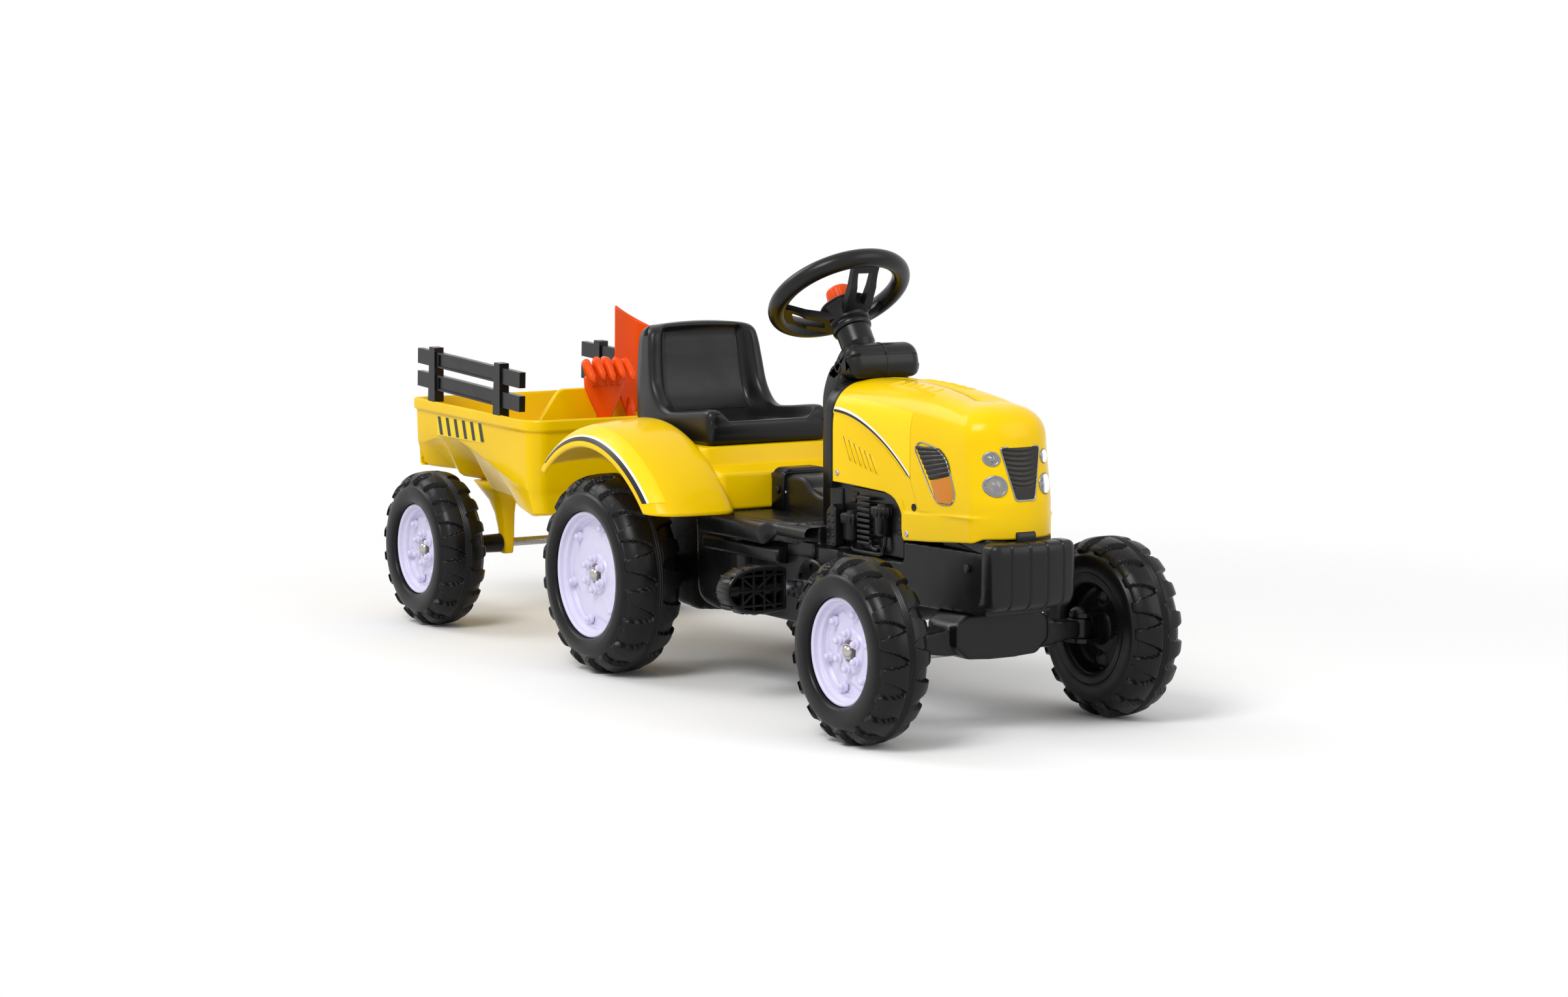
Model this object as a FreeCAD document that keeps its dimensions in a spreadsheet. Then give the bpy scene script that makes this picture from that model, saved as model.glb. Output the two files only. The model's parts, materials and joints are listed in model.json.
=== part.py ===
import FreeCAD, Part
import math
import os
import re
import Sketcher
from FreeCAD import Placement, Rotation, Vector

# Driving sizes in millimetres. x runs forward from the rear axle, y to the left, z up from the ground.
SIZES = {
    # whole toy
    "half_width": 210.0,
    "wheelbase": 589.0,
    "trailer_gap": 490.0,
    "trailer_tail": 141.0,
    # front and trailer wheels
    "front_radius": 106.0,
    "front_width": 70.0,
    "front_rim": 62.0,
    # rear wheels
    "rear_radius": 126.0,
    "rear_width": 86.0,
    "rear_rim": 80.0,
    # what all wheels share
    "rim_inset": 8.0,
    "rim_depth": 24.0,
    "boss_rise": 6.0,
    "rim_wall": 3.0,
    "lug_count": 18,
    "lug_depth": 4.5,
    "lug_tilt": 17.0,
    "rib_depth": 1.2,
    "dish_depth": 24.0,
    "hub_radius": 17.0,
    "axle_radius": 6.0,
    "running_fit": 0.06,
    "free_gap": 0.5,
    "nut_flats": 17.0,
    "nut_height": 7.0,
    "washer_radius": 12.0,
    "washer_thickness": 1.5,
    "screw_radius": 6.0,
    # chassis: gearbox, middle frame with the cranks, nose, floor, tunnel
    "gearbox_x": -95.0,
    "gearbox_length": 235.0,
    "gearbox_low": 80.0,
    "gearbox_height": 133.0,
    "gearbox_half": 78.0,
    "frame_x": 100.0,
    "frame_length": 300.0,
    "frame_low": 94.0,
    "frame_height": 98.0,
    "frame_half": 84.0,
    "floor_x": 140.0,
    "floor_length": 212.0,
    "floor_low": 190.0,
    "floor_thickness": 25.0,
    "floor_half": 110.0,
    "rib_height": 1.5,
    "rib_pitch": 9.0,
    "nose_x": 385.0,
    "nose_length": 265.0,
    "nose_low": 140.0,
    "nose_step": 189.0,
    "nose_top": 213.0,
    "nose_half": 78.0,
    "tunnel_length": 185.0,
    "tunnel_height": 47.0,
    "tunnel_half": 27.0,
    "core_half": 62.0,
    "core_top": 300.0,
    # bonnet
    "bonnet_x": 352.0,
    "bonnet_lead": 7.0,
    "bonnet_low": 213.0,
    "bonnet_height": 179.0,
    "bonnet_half": 80.0,
    "bonnet_nose_half": 46.0,
    "bonnet_wall": 4.0,
    "bonnet_top_round": 34.0,
    "bonnet_corner_round": 10.0,
    "front_lean": 13.3,
    "lamp_recess": 3.0,
    "lower_lamp_radius": 13.0,
    "upper_lamp_radius": 8.5,
    "lower_lamp_y": 34.0,
    "lower_lamp_rise": 15.0,
    "upper_lamp_rise": 55.0,
    "face_rise": 59.0,
    "upper_lamp_y": 36.0,
    "grille_rise": -2.0,
    "grille_height": 60.0,
    "grille_half": 27.0,
    # bumper
    "bumper_depth": 36.0,
    "bumper_half": 58.0,
    "bumper_low": 148.0,
    "bumper_height": 78.0,
    # dash and steering
    "tower_x": 330.0,
    "tower_thickness": 22.0,
    "tower_low": 215.0,
    "tower_height": 167.0,
    "tower_half": 66.0,
    "cowl_x": 318.0,
    "cowl_length": 62.0,
    "cowl_low": 376.0,
    "cowl_height": 57.0,
    "cowl_half": 42.0,
    "column_x": 271.0,
    "column_z": 486.0,
    "column_tilt": 35.6,
    "column_radius": 7.0,
    "wheel_ring": 79.0,
    "wheel_tube": 11.0,
    "wheel_dish": 33.0,
    "wheel_hub": 24.0,
    "horn_radius": 17.0,
    "horn_height": 28.0,
    "horn_travel": 3.0,
    "sleeve_radius": 21.0,
    "sleeve_length": 42.0,
    "arm_reach": 30.0,
    "finger_radius": 4.0,
    # front axle and steering gear
    "beam_low": 86.0,
    "beam_height": 54.0,
    "beam_half": 118.0,
    "beam_thickness": 34.0,
    "block_half": 65.0,
    "block_thickness": 60.0,
    "kingpin_y": 130.0,
    "kingpin_radius": 5.0,
    "eye_radius": 14.0,
    "eye_low": 96.0,
    "eye_height": 24.0,
    "yoke_thickness": 5.0,
    "yoke_reach": 17.0,
    "link_arm": 45.0,
    "link_gap": 0.3,
    "link_radius": 5.0,
    # cranks, pedals and chain
    "crank_x": 348.0,
    "crank_z": 139.0,
    "crank_throw": 41.0,
    "crank_arm_width": 24.0,
    "crank_arm_thickness": 8.0,
    "crank_cover": 37.0,
    "cover_thickness": 4.0,
    "bush_radius": 10.0,
    "bush_length": 16.0,
    "pedal_height": 74.0,
    "pedal_width": 92.0,
    "pedal_thickness": 28.0,
    "pedal_gap": 6.0,
    "chain_pitch": 12.7,
    "chain_y": 30.0,
    "crank_teeth": 15,
    "axle_teeth": 11,
    "roller_radius": 3.9,
    "sprocket_thickness": 3.0,
    "link_thickness": 1.5,
    # rear body and seat
    "wall_x": 143.0,
    "wall_thickness": 17.0,
    "wall_low": 215.5,
    "plinth_x": -118.0,
    "plinth_length": 230.0,
    "plinth_height": 84.0,
    "plinth_half": 104.0,
    "fender_lip": 163.0,
    "fender_top": 194.0,
    "fender_edge": 205.0,
    "fender_inner": 96.0,
    "fender_skin": 5.0,
    "fender_start": 31.0,
    "fender_sweep": 104.0,
    "seat_x": -84.0,
    "seat_length": 192.0,
    "seat_low": 291.0,
    "seat_height": 145.0,
    "seat_half": 88.0,
    "seat_round": 6.0,
    # trailer
    "tub_length": 366.0,
    "tub_low": 168.0,
    "tub_height": 136.0,
    "tub_half": 131.0,
    "tub_wall": 4.0,
    "tub_corner": 34.0,
    "rim_lip": 8.0,
    "tab_half": 86.0,
    "tab_top": 334.0,
    "fence_x": -620.0,
    "fence_length": 310.0,
    "fence_height": 76.0,
    "fence_thickness": 9.0,
    "fence_fall": 2.8155,
    "strut_half": 48.0,
    "strut_thickness": 26.0,
    "hitch_x": -165.0,
    "hitch_z": 146.0,
    "hitch_thickness": 10.0,
    "hitch_pin": 6.0,
    "drawbar_half": 40.0,
    "drawbar_length": 165.0,
    "bracket_length": 92.0,
    "bracket_half": 30.0,
    "tool_x": -284.0,
    "tool_y": 20.0,
    "shovel_back": 16.0,
    "shovel_side": 10.0,
    "tool_radius": 7.0,
    "tool_low": 186.0,
    "rake_top": 378.0,
    "rake_half": 36.0,
    "shovel_top": 445.0,
    "shovel_half": 36.0,
}

doc = FreeCAD.newDocument("pedal_tractor")
sheet = doc.addObject("Spreadsheet::Sheet", "sizes")
for row, (alias, number) in enumerate(SIZES.items(), start=1):
    sheet.set(f"A{row}", alias)
    sheet.set(f"B{row}", str(number))
    sheet.setAlias(f"B{row}", alias)
doc.recompute()

nodes = []


# the bonnet ends a set lead in front of the nose that carries it,
# and the tie rod lies just under the steering arms
DERIVED = {
    "bonnet_length": "(nose_x + nose_length + bonnet_lead - bonnet_x)",
    "link_z": "(eye_low - free_gap - yoke_thickness - link_gap - link_radius)",
}


def ref(text):
    """The expression with every size pointed at its cell of the sheet and derived sizes written out."""
    text = re.sub(r"[a-z_]\w*", lambda word: DERIVED.get(word[0], word[0]), str(text))
    return re.sub(r"[a-z_]\w*", lambda word: f"sizes.{word[0]}" if word[0] in SIZES else word[0], text)


def val(text):
    """The number an expression of sizes comes to now."""
    return float(sheet.evalExpression(ref(text)))


def bind(item, prop, text):
    """Tie one property to an expression of sizes."""
    item.setExpression(prop, ref(text))


def locate(item, x="0", y="0", z="0", axis=Vector(0, 0, 1), angle=0.0):
    """Put a piece at a place measured from the rear axle, in the frame centred on the whole toy."""
    centre = "(trailer_gap + trailer_tail - wheelbase - front_radius) / 2"
    item.Placement = Placement(Vector(), Rotation(axis, angle))
    bind(item, "Placement.Base.x", f"{centre} + {x}")
    bind(item, "Placement.Base.y", y)
    bind(item, "Placement.Base.z", z)


def new_body(label, node=True):
    """An empty body that becomes one node."""
    body = doc.addObject("PartDesign::Body", label)
    body.Label = label
    if node:
        nodes.append(body)
    return body


def origin_part(body, role):
    """A base plane or axis of a body, found by its role."""
    return next(item for item in body.Origin.OriginFeatures if item.Role == role)


def empty_sketch(body, plane, offset="0", tilt=None):
    """A sketch on a base plane, moved along its normal and tilted about its own x if asked."""
    item = body.newObject("Sketcher::SketchObject", "outline")
    item.AttachmentSupport = [(origin_part(body, plane), "")]
    item.MapMode = "FlatFace"
    bind(item, "AttachmentOffset.Base.z", offset)
    if tilt:
        item.AttachmentOffset = Placement(Vector(), Rotation(Vector(1, 0, 0), 1.0))
        bind(item, "AttachmentOffset.Base.z", offset)
        bind(item, "AttachmentOffset.Rotation.Angle", tilt)
    return item


def add_loop(item, points):
    """A closed loop through points (x, y) or (x, y, radius), the radius bending the side that follows."""
    spots = [Vector(val(p[0]), val(p[1]), 0) for p in points]
    first = item.GeometryCount
    count = len(points)
    for i, point in enumerate(points):
        here, there = spots[i], spots[(i + 1) % count]
        if len(point) < 3:
            item.addGeometry(Part.LineSegment(here, there), False)
            continue
        bend = val(point[2])
        chord = there - here
        side = Vector(-chord.y, chord.x, 0).normalize() * math.copysign(1, bend)
        rise = abs(bend) - math.sqrt(max(bend * bend - chord.Length ** 2 / 4, 0))
        item.addGeometry(Part.Arc(here, (here + there) / 2 - side * rise, there), False)
    for i, point in enumerate(points):
        ends = [end_of(item, first + i, spots[(i + 1) % count])]
        ends += [end_of(item, first + (i + 1) % count, spots[(i + 1) % count])]
        item.addConstraint(Sketcher.Constraint("Coincident", first + i, ends[0], first + (i + 1) % count,
                ends[1]))
    for i, point in enumerate(points):
        start = end_of(item, first + i, spots[i])
        for kind, text in (("DistanceX", point[0]), ("DistanceY", point[1])):
            index = item.addConstraint(Sketcher.Constraint(kind, -1, 1, first + i, start, val(text)))
            bind(item, f"Constraints[{index}]", text)
        if len(point) == 3:
            index = item.addConstraint(Sketcher.Constraint("Radius", first + i, abs(val(point[2]))))
            bind(item, f"Constraints[{index}]", f"abs({point[2]})")


def end_of(item, index, spot):
    """Which end of a sketch curve lies at a spot: 1 the start, 2 the end."""
    return 1 if item.getPoint(index, 1).distanceToPoint(spot) < item.getPoint(index,
            2).distanceToPoint(spot) else 2


def add_circle(item, x, y, radius):
    """A full circle in a sketch."""
    index = item.addGeometry(Part.Circle(Vector(val(x), val(y), 0), Vector(0, 0, 1), val(radius)), False)
    for kind, text in (("DistanceX", x), ("DistanceY", y)):
        number = item.addConstraint(Sketcher.Constraint(kind, -1, 1, index, 3, val(text)))
        bind(item, f"Constraints[{number}]", text)
    number = item.addConstraint(Sketcher.Constraint("Radius", index, val(radius)))
    bind(item, f"Constraints[{number}]", radius)


def outline(body, plane, points, offset="0", tilt=None):
    """A sketch holding one closed loop."""
    item = empty_sketch(body, plane, offset, tilt)
    add_loop(item, points)
    return item


def rounds(body, plane, circles, offset="0"):
    """A sketch holding circles given as (x, y, radius)."""
    item = empty_sketch(body, plane, offset)
    for circle in circles:
        add_circle(item, *circle)
    return item


def grow(body, kind, profile, length=None, both=False, flip=False):
    """A pad or a pocket of a sketch; a pocket without a length goes through everything."""
    item = body.newObject(f"PartDesign::{kind}", kind.lower())
    item.Profile = profile
    item.Reversed = flip
    if both:
        item.SideType = "Symmetric"
    if length:
        bind(item, "Length", length)
    else:
        item.Type = "ThroughAll"
    before = body.Shape.Volume if kind == "Pocket" else 0
    doc.recompute()
    if kind == "Pocket" and body.Shape.Volume > before - 1e-3:
        raise RuntimeError(f"{body.Label}: a pocket took nothing away")
    return item


def turn(body, kind, profile, axis, angle="360", both=False):
    """A revolution or a groove of a sketch about a base axis of its body."""
    item = body.newObject(f"PartDesign::{kind}", kind.lower())
    item.Profile = profile
    item.ReferenceAxis = (origin_part(body, axis), [""])
    item.Midplane = both
    bind(item, "Angle", angle)
    doc.recompute()
    return item


def ring_of(body, features, axis, count):
    """Repeat features around a base axis."""
    item = body.newObject("PartDesign::PolarPattern", "ring")
    item.Originals = features
    item.Axis = (origin_part(body, axis), [""])
    item.Angle = 360
    bind(item, "Occurrences", count)
    body.Tip = item
    doc.recompute()
    return item


def twin(body, features, plane):
    """Mirror features across a base plane."""
    item = body.newObject("PartDesign::Mirrored", "twin")
    item.Originals = features
    item.MirrorPlane = (origin_part(body, plane), [""])
    body.Tip = item
    doc.recompute()
    return item


def soften(body, radius, chosen, kind="Fillet"):
    """Round or bevel the edges of a body that a test picks."""
    base = body.Tip
    names = [f"Edge{i}" for i, edge in enumerate(base.Shape.Edges, start=1) if chosen(edge)]
    if not names:
        raise RuntimeError(f"{body.Label}: no edge to soften")
    item = body.newObject(f"PartDesign::{kind}", kind.lower())
    item.Base = (base, names)
    bind(item, "Radius" if kind == "Fillet" else "Size", radius)
    doc.recompute()
    return item


def middle(edge):
    """The point halfway along an edge."""
    return edge.valueAt((edge.FirstParameter + edge.LastParameter) / 2)


def along(edge, axis):
    """True for a straight edge that runs along an axis."""
    if edge.Curve.TypeId != "Part::GeomLine":
        return False
    return abs(edge.tangentAt(edge.FirstParameter).dot(axis)) > 0.999


def copy_of(source, label):
    """A second piece of the same make as its own node."""
    item = doc.addObject("Part::Compound", label)
    item.Label = label
    item.Links = [source]
    nodes.append(item)
    return item


def tyre(size):
    """A hollow-moulded tyre with its inner disc, lugs on both shoulders and ribs round the crown."""
    radius, width, rim = f"{size}_radius", f"{size}_width", f"{size}_rim"
    body = new_body(f"{size}_tyre_master", node=False)
    face = f"{width} / 2"
    seat = f"({face} - rim_inset - rim_depth - rim_wall)"
    bore = "axle_radius + running_fit"
    inner = f"{rim} * 0.86"
    middle_y = f"(half_width - {width} / 2)"
    hub_ends = {"front": f"(kingpin_y + yoke_reach + yoke_thickness + free_gap - {middle_y})",
                "rear": f"(gearbox_half + cover_thickness + 2 * free_gap - {middle_y})"}
    hub_end = hub_ends[size]
    crown = f"(({width} * 0.43)^2 + ({radius} * 0.075)^2) / ({radius} * 0.15)"
    section = outline(body, "YZ_Plane", [
        (seat, bore), (seat, f"{rim} + free_gap"),
        (f"{face} - rim_wall", f"{rim} + free_gap"), (face, f"{rim} + rim_wall", f"{radius} * 0.9"),
        (f"{width} * 0.43", f"{radius} * 0.925", crown),
        (f"-{width} * 0.43", f"{radius} * 0.925", f"{radius} * 0.9"),
        (f"-{face}", f"{inner} + rim_wall"), (f"-{face} + rim_wall", inner),
        (f"-{face} + dish_depth", f"{inner} - rim_wall"), (f"-{face} + dish_depth", "hub_radius"),
        (hub_end, "hub_radius - rim_wall"), (hub_end, bore)])
    turn(body, "Revolution", section, "Y_Axis")
    for side, shift in ((1, "0"), (-1, "180 / lug_count")):
        leaf = leaf_pocket(body, radius, width, side, shift)
        ring_of(body, [leaf], "Y_Axis", "lug_count")
    ribs = empty_sketch(body, "YZ_Plane")
    for place in (-1, 0, 1):
        low, high = f"{place} * {width} * 0.05 - rib_depth", f"{place} * {width} * 0.05 + rib_depth"
        add_loop(ribs, [(low, f"{radius} + rib_depth"), (f"{place} * {width} * 0.05",
                f"{radius} - rib_depth"),
                        (high, f"{radius} + rib_depth")])
    turn(body, "Groove", ribs, "Y_Axis")
    return body


def leaf_pocket(body, radius, width, side, shift):
    """The leaf-shaped hollow between two lugs, pointing at the crown."""
    leaf = body.newObject("Sketcher::SketchObject", "leaf")
    leaf.AttachmentSupport = [(origin_part(body, "XY_Plane"), "")]
    leaf.MapMode = "FlatFace"
    lean = Rotation(Vector(1, 0, 0), -side * val("lug_tilt"))
    spin = Rotation(Vector(0, 1, 0), val(shift))
    base = Vector(0, side * val(f"{width} * 0.43"), val(f"{radius} * 0.925"))
    above = lean.multVec(Vector(0, 0, val(f"{radius} * 0.1")))
    leaf.AttachmentOffset = Placement(spin.multVec(base + above), spin.multiply(lean))
    pitch = f"{radius} * 3.1416 / lug_count"
    add_loop(leaf, [
        (f"-{pitch} * 0.48", f"{side} * {width} * 0.3"), (f"-{pitch} * 0.62", f"-{side} * {width} * 0.04",
                                                          f"-{side} * {width} * 0.75"),
        (f"{pitch} * 0.35", f"-{side} * {width} * 0.34", f"-{side} * {width} * 0.62"),
        (f"{pitch} * 0.48", f"{side} * {width} * 0.3")])
    return grow(body, "Pocket", leaf, f"{radius} * 0.1 + lug_depth")


def rim_cap(size):
    """The white dished wheel cap: flange, step, disc with hexagon lugs and a raised boss with studs."""
    width, rim = f"{size}_width", f"{size}_rim"
    body = new_body(f"{size}_rim_master", node=False)
    flange = f"({width} / 2 - rim_inset)"
    floor = f"({flange} - rim_depth)"
    bore = "axle_radius + running_fit"
    section = outline(body, "YZ_Plane", [
        (f"{floor} - rim_wall", bore), (f"{floor} - rim_wall", f"{rim} * 0.86"),
        (f"{flange} - 2 * rim_wall", f"{rim} * 0.9"), (f"{flange} - 2 * rim_wall", rim),
        (f"{flange} - rim_wall", rim), (flange, f"{rim} * 0.97"), (flange, f"{rim} * 0.91"),
        (f"{flange} - rim_depth * 0.3", f"{rim} * 0.87"), (f"{flange} - rim_depth * 0.4", f"{rim} * 0.8"),
        (floor, f"{rim} * 0.76"), (floor, f"{rim} * 0.47"), (f"{floor} + boss_rise", f"{rim} * 0.43"),
        (f"{floor} + boss_rise", bore)])
    turn(body, "Revolution", section, "Y_Axis")
    for ring, reach, rise in (("0.61", "0.075", "rim_wall"), ("0.33", "0.055", "boss_rise + rim_wall")):
        corner = [(f"{rim} * {reach} * cos({60 * i})",
                f"{rim} * ({ring} + {reach} * sin({60 * i}))") for i in range(6)]
        stud = grow(body, "Pad", outline(body, "XZ_Plane", corner, f"-{floor}"), rise, flip=True)
        ring_of(body, [stud], "Y_Axis", "6")
    return body


def hub_nut():
    """Washer and domed nut on the end of an axle, the nut's seat at the local origin."""
    body = new_body("hub_nut_master", node=False)
    bore = "axle_radius + running_fit"
    washer = outline(body, "YZ_Plane", [("0", bore), ("0", "washer_radius"), ("washer_thickness",
            "washer_radius"),
                                        ("washer_thickness", bore)])
    turn(body, "Revolution", washer, "Y_Axis")
    corner = [(f"nut_flats / 2 / cos(30) * cos({60 * i})",
            f"nut_flats / 2 / cos(30) * sin({60 * i})") for i in range(6)]
    hexagon = outline(body, "XZ_Plane", corner, "-washer_thickness")
    grow(body, "Pad", hexagon, "nut_height", flip=True)
    base = "(washer_thickness + nut_height)"
    dome = outline(body, "YZ_Plane", [(base, "0"), (f"{base} + nut_flats * 0.3", "0", "nut_flats * 0.5"),
                                      (base, "nut_flats * 0.45")])
    turn(body, "Revolution", dome, "Y_Axis")
    bore_cut = rounds(body, "XZ_Plane", [("0", "0", bore)])
    grow(body, "Pocket", bore_cut, f"{base}", flip=False)
    return body


def wheels():
    """Six wheels, each tyre, cap and nut placed with its axis across the toy."""
    nut = hub_nut()
    for size, names in (("front", (("front", "wheelbase"), ("trailer", "-trailer_gap"))),
            ("rear", (("rear", "0"),))):
        parts = {"tyre": tyre(size), "cap": rim_cap(size)}
        middle_y = f"(half_width - {size}_width / 2)"
        seat = f"({size}_width / 2 - rim_inset - rim_depth + boss_rise)"
        for name, station in names:
            for side, sign, angle in (("left", "1", 0.0), ("right", "-1", 180.0)):
                for kind, source in parts.items():
                    item = copy_of(source, f"{name}_{kind}_{side}")
                    locate(item, station, f"{sign} * {middle_y}", f"{size}_radius", angle=angle)
                if name == "front":
                    item = copy_of(nut, f"{name}_nut_{side}")
                    locate(item, station, f"{sign} * ({middle_y} + {seat})", f"{size}_radius",
                            angle=angle)
            if name != "front":
                pair_of(nut, f"{name}_nuts", station, f"{middle_y} + {seat}", f"{size}_radius")


def box_points(shares, start, length, low, height):
    """An outline given as shares of a named box; a third share bends the side, measured on the length."""
    points = []
    for share in shares:
        point = [f"{start} + {share[0]} * {length}", f"{low} + {share[1]} * {height}"]
        point += [f"{bend} * {length}" for bend in share[2:]]
        points.append(tuple(point))
    return points


def slanted_sketch(body, x, z, angle, axis=Vector(0, -1, 0)):
    """A sketch on a plane through a point in the middle plane, its normal leaning back from straight up."""
    item = body.newObject("Sketcher::SketchObject", "slanted")
    item.AttachmentSupport = [(origin_part(body, "XY_Plane"), "")]
    item.MapMode = "FlatFace"
    item.AttachmentOffset = Placement(Vector(), Rotation(axis, 1.0))
    bind(item, "AttachmentOffset.Base.x", x)
    bind(item, "AttachmentOffset.Base.z", z)
    bind(item, "AttachmentOffset.Rotation.Angle", angle)
    return item


def chassis():
    """The black hollow-moulded frame: gearbox, crank frame, ribbed floor, tunnel, nose and engine core."""
    body = new_body("chassis")
    gearbox_shares = [
        (0, 0.526), (0.072, 0.09), (0.66, 0), (0.881, 0.045, 0.128), (1, 0.256), (1, 1), (0, 1)]
    side = outline(body, "XZ_Plane", box_points(gearbox_shares, "gearbox_x", "gearbox_length",
            "gearbox_low",
                                                "gearbox_height"))
    grow(body, "Pad", side, "2 * gearbox_half", both=True)
    frame_shares = [(0, 0.102), (0.267, 0), (0.887, 0, 0.113), (1, 0.347), (1, 1), (0, 1)]
    side = outline(body, "XZ_Plane", box_points(frame_shares, "frame_x", "frame_length", "frame_low",
            "frame_height"))
    grow(body, "Pad", side, "2 * frame_half", both=True)
    floor_shares = [
        (0, 0), (0.25, 0.041), (0.755, 0.068), (0.943, 0.127), (1, 0.141), (1, 0.859), (0.943, 0.873),
        (0.755, 0.932), (0.25, 0.959), (0, 1)]
    plan = outline(body, "XY_Plane", box_points(floor_shares, "floor_x", "floor_length", "-floor_half",
                                                "2 * floor_half"), "floor_low")
    grow(body, "Pad", plan, "floor_thickness")
    taper = "(nose_half - bonnet_nose_half) / nose_length"
    for low, high, start, trim in (("nose_low", "nose_step", "nose_x", "0"),
            ("nose_step - free_gap", "nose_top",
                                   "(nose_x + nose_length * 0.46)", "0"),
                                   ("nose_step - free_gap", "core_top", "(tower_x + tower_thickness)",
            "nose_half - core_half")):
        half_rear = f"(nose_half - ({start} - nose_x) * {taper} - ({trim}))"
        half_front = f"(bonnet_nose_half - ({trim}) * 0.6)"
        end = f"(nose_x + nose_length - 2.4 * ({trim}))"
        plan = outline(body, "XY_Plane", [(start, f"-{half_rear}"), (end, f"-{half_front}"),
                (end, half_front),
                                          (start, half_rear)], low)
        grow(body, "Pad", plan, f"{high} - ({low})")
    tunnel_shares = [
        (0, 0), (1, 0), (1, 0.532), (0.84, 0.489, 0.374), (0.492, 0.702), (0.305, 1), (0, 1)]
    hump = outline(body, "XZ_Plane", box_points(tunnel_shares, "(wall_x + free_gap)", "tunnel_length",
            "nose_top", "tunnel_height"))
    grow(body, "Pad", hump, "2 * tunnel_half", both=True)
    for start in range(7):
        near = f"(tunnel_half + rib_pitch * {0.8 + start * 0.95})"
        for sign in ("1", "-1"):
            far = f"({near} + rib_pitch * 0.4)"
            rib = outline(body, "XY_Plane", [
                ("floor_x + floor_length * 0.1", f"{sign} * {near}"),
                    ("floor_x + floor_length * 0.84", f"{sign} * {near}"),
                ("floor_x + floor_length * 0.84", f"{sign} * {far}"),
                    ("floor_x + floor_length * 0.1", f"{sign} * {far}")],
                "floor_low + floor_thickness - free_gap")
            grow(body, "Pad", rib, "rib_height + free_gap")
    bores = rounds(body, "XZ_Plane", [("0", "rear_radius", "bush_radius + free_gap"),
                                      ("crank_x", "crank_z", "bush_radius + free_gap")])
    grow(body, "Pocket", bores, "2 * half_width", both=True)
    reach = "(chain_pitch * crank_teeth / 6.2832 + 3 * roller_radius)"
    cave = outline(body, "XZ_Plane", [
        (f"-{reach}", f"rear_radius - {reach} * 0.9"),
            (f"crank_x + {reach}", f"frame_low + {reach} * 0.1"),
        (f"crank_x + {reach}", f"crank_z + {reach}"), (f"-{reach}", f"rear_radius + {reach}")],
            "-chain_y")
    grow(body, "Pocket", cave, "chain_y * 0.8", both=True)
    bore = slanted_sketch(body, "column_x", "column_z", "column_tilt")
    add_circle(bore, "0", "0", "column_radius + 3 * free_gap")
    grow(body, "Pocket", bore)
    locate(body)


def bonnet():
    """The yellow bonnet: leaning curved front, rounded shoulders, tapering sides, open underneath."""
    body = new_body("bonnet")
    bonnet_shares = [
        (0, 0.318), (0.446, 0.296, -0.049), (0.495, 0.212), (0.508, 0.006), (0.944, 0), (0.97, 0.084),
        (0.997, 0.117), (1, 0.33), (0.954, 0.659, 0.216), (0.807, 0.95), (0.279, 1), (0, 0.983)]
    side = outline(body, "XZ_Plane", box_points(bonnet_shares, "bonnet_x", "bonnet_length", "bonnet_low",
            "bonnet_height"))
    grow(body, "Pad", side, "2 * bonnet_half", both=True)
    trim = empty_sketch(body, "XY_Plane")
    nose = "(bonnet_x + bonnet_length)"
    edge_x = f"({nose} - bonnet_corner_round)"
    bow = "bonnet_nose_half * 2.4"
    add_loop(trim, [("bonnet_x", "-bonnet_half"), (edge_x, "-bonnet_nose_half", bow),
            (edge_x, "bonnet_nose_half"),
                    ("bonnet_x", "bonnet_half")])
    wide = "bonnet_half * 2"
    add_loop(trim, [("bonnet_x - bonnet_half", f"-{wide}"), (f"{nose} + bonnet_half", f"-{wide}"),
                    (f"{nose} + bonnet_half", wide), ("bonnet_x - bonnet_half", wide)])
    grow(body, "Pocket", trim, flip=True)
    soften(body, "bonnet_top_round",
            lambda edge: middle(edge).z > val("bonnet_low + 0.93 * bonnet_height")
           and abs(middle(edge).y) > val("bonnet_nose_half * 0.9")
           and middle(edge).x > val("bonnet_x + free_gap"))
    for low, high, inset in (("bonnet_low", "bonnet_low + 0.78 * bonnet_height", "bonnet_wall"),
                             ("bonnet_low", "bonnet_low + 0.93 * bonnet_height", "bonnet_top_round")):
        tip = f"({edge_x} - bonnet_top_round * 0.6 - {inset})"
        hollow = outline(body, "XY_Plane", [
            ("bonnet_x", f"-bonnet_half + {inset}"),
                (tip, f"-bonnet_nose_half + {inset} * 0.7 - bonnet_wall * 0.3"),
            (tip, f"bonnet_nose_half - {inset} * 0.7 + bonnet_wall * 0.3"),
                ("bonnet_x", f"bonnet_half - {inset}")], low)
        grow(body, "Pocket", hollow, f"{high} - {low}", flip=True)
    floor = face_sketch(body, "3 * lamp_recess")
    for y, rise, radius in face_spots():
        add_circle(floor, f"-({rise})", y, f"{radius} + free_gap")
    grow(body, "Pocket", floor, "bonnet_half", flip=True)
    floor = face_sketch(body, "2 * lamp_recess")
    add_loop(floor, [(f"-({high})", across) for across, high in grille_outline("free_gap")])
    grow(body, "Pocket", floor, "bonnet_half", flip=True)
    bore = slanted_sketch(body, "column_x", "column_z", "column_tilt")
    add_circle(bore, "0", "0", "column_radius + 3 * free_gap")
    grow(body, "Pocket", bore)
    locate(body)


def face_spots():
    """Centres and radii of the four headlamps on the leaning front face."""
    spots = []
    for sign in ("1", "-1"):
        spots.append((f"{sign} * lower_lamp_y", "lower_lamp_rise", "lower_lamp_radius"))
        spots.append((f"{sign} * upper_lamp_y", "upper_lamp_rise", "upper_lamp_radius"))
    return spots


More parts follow.
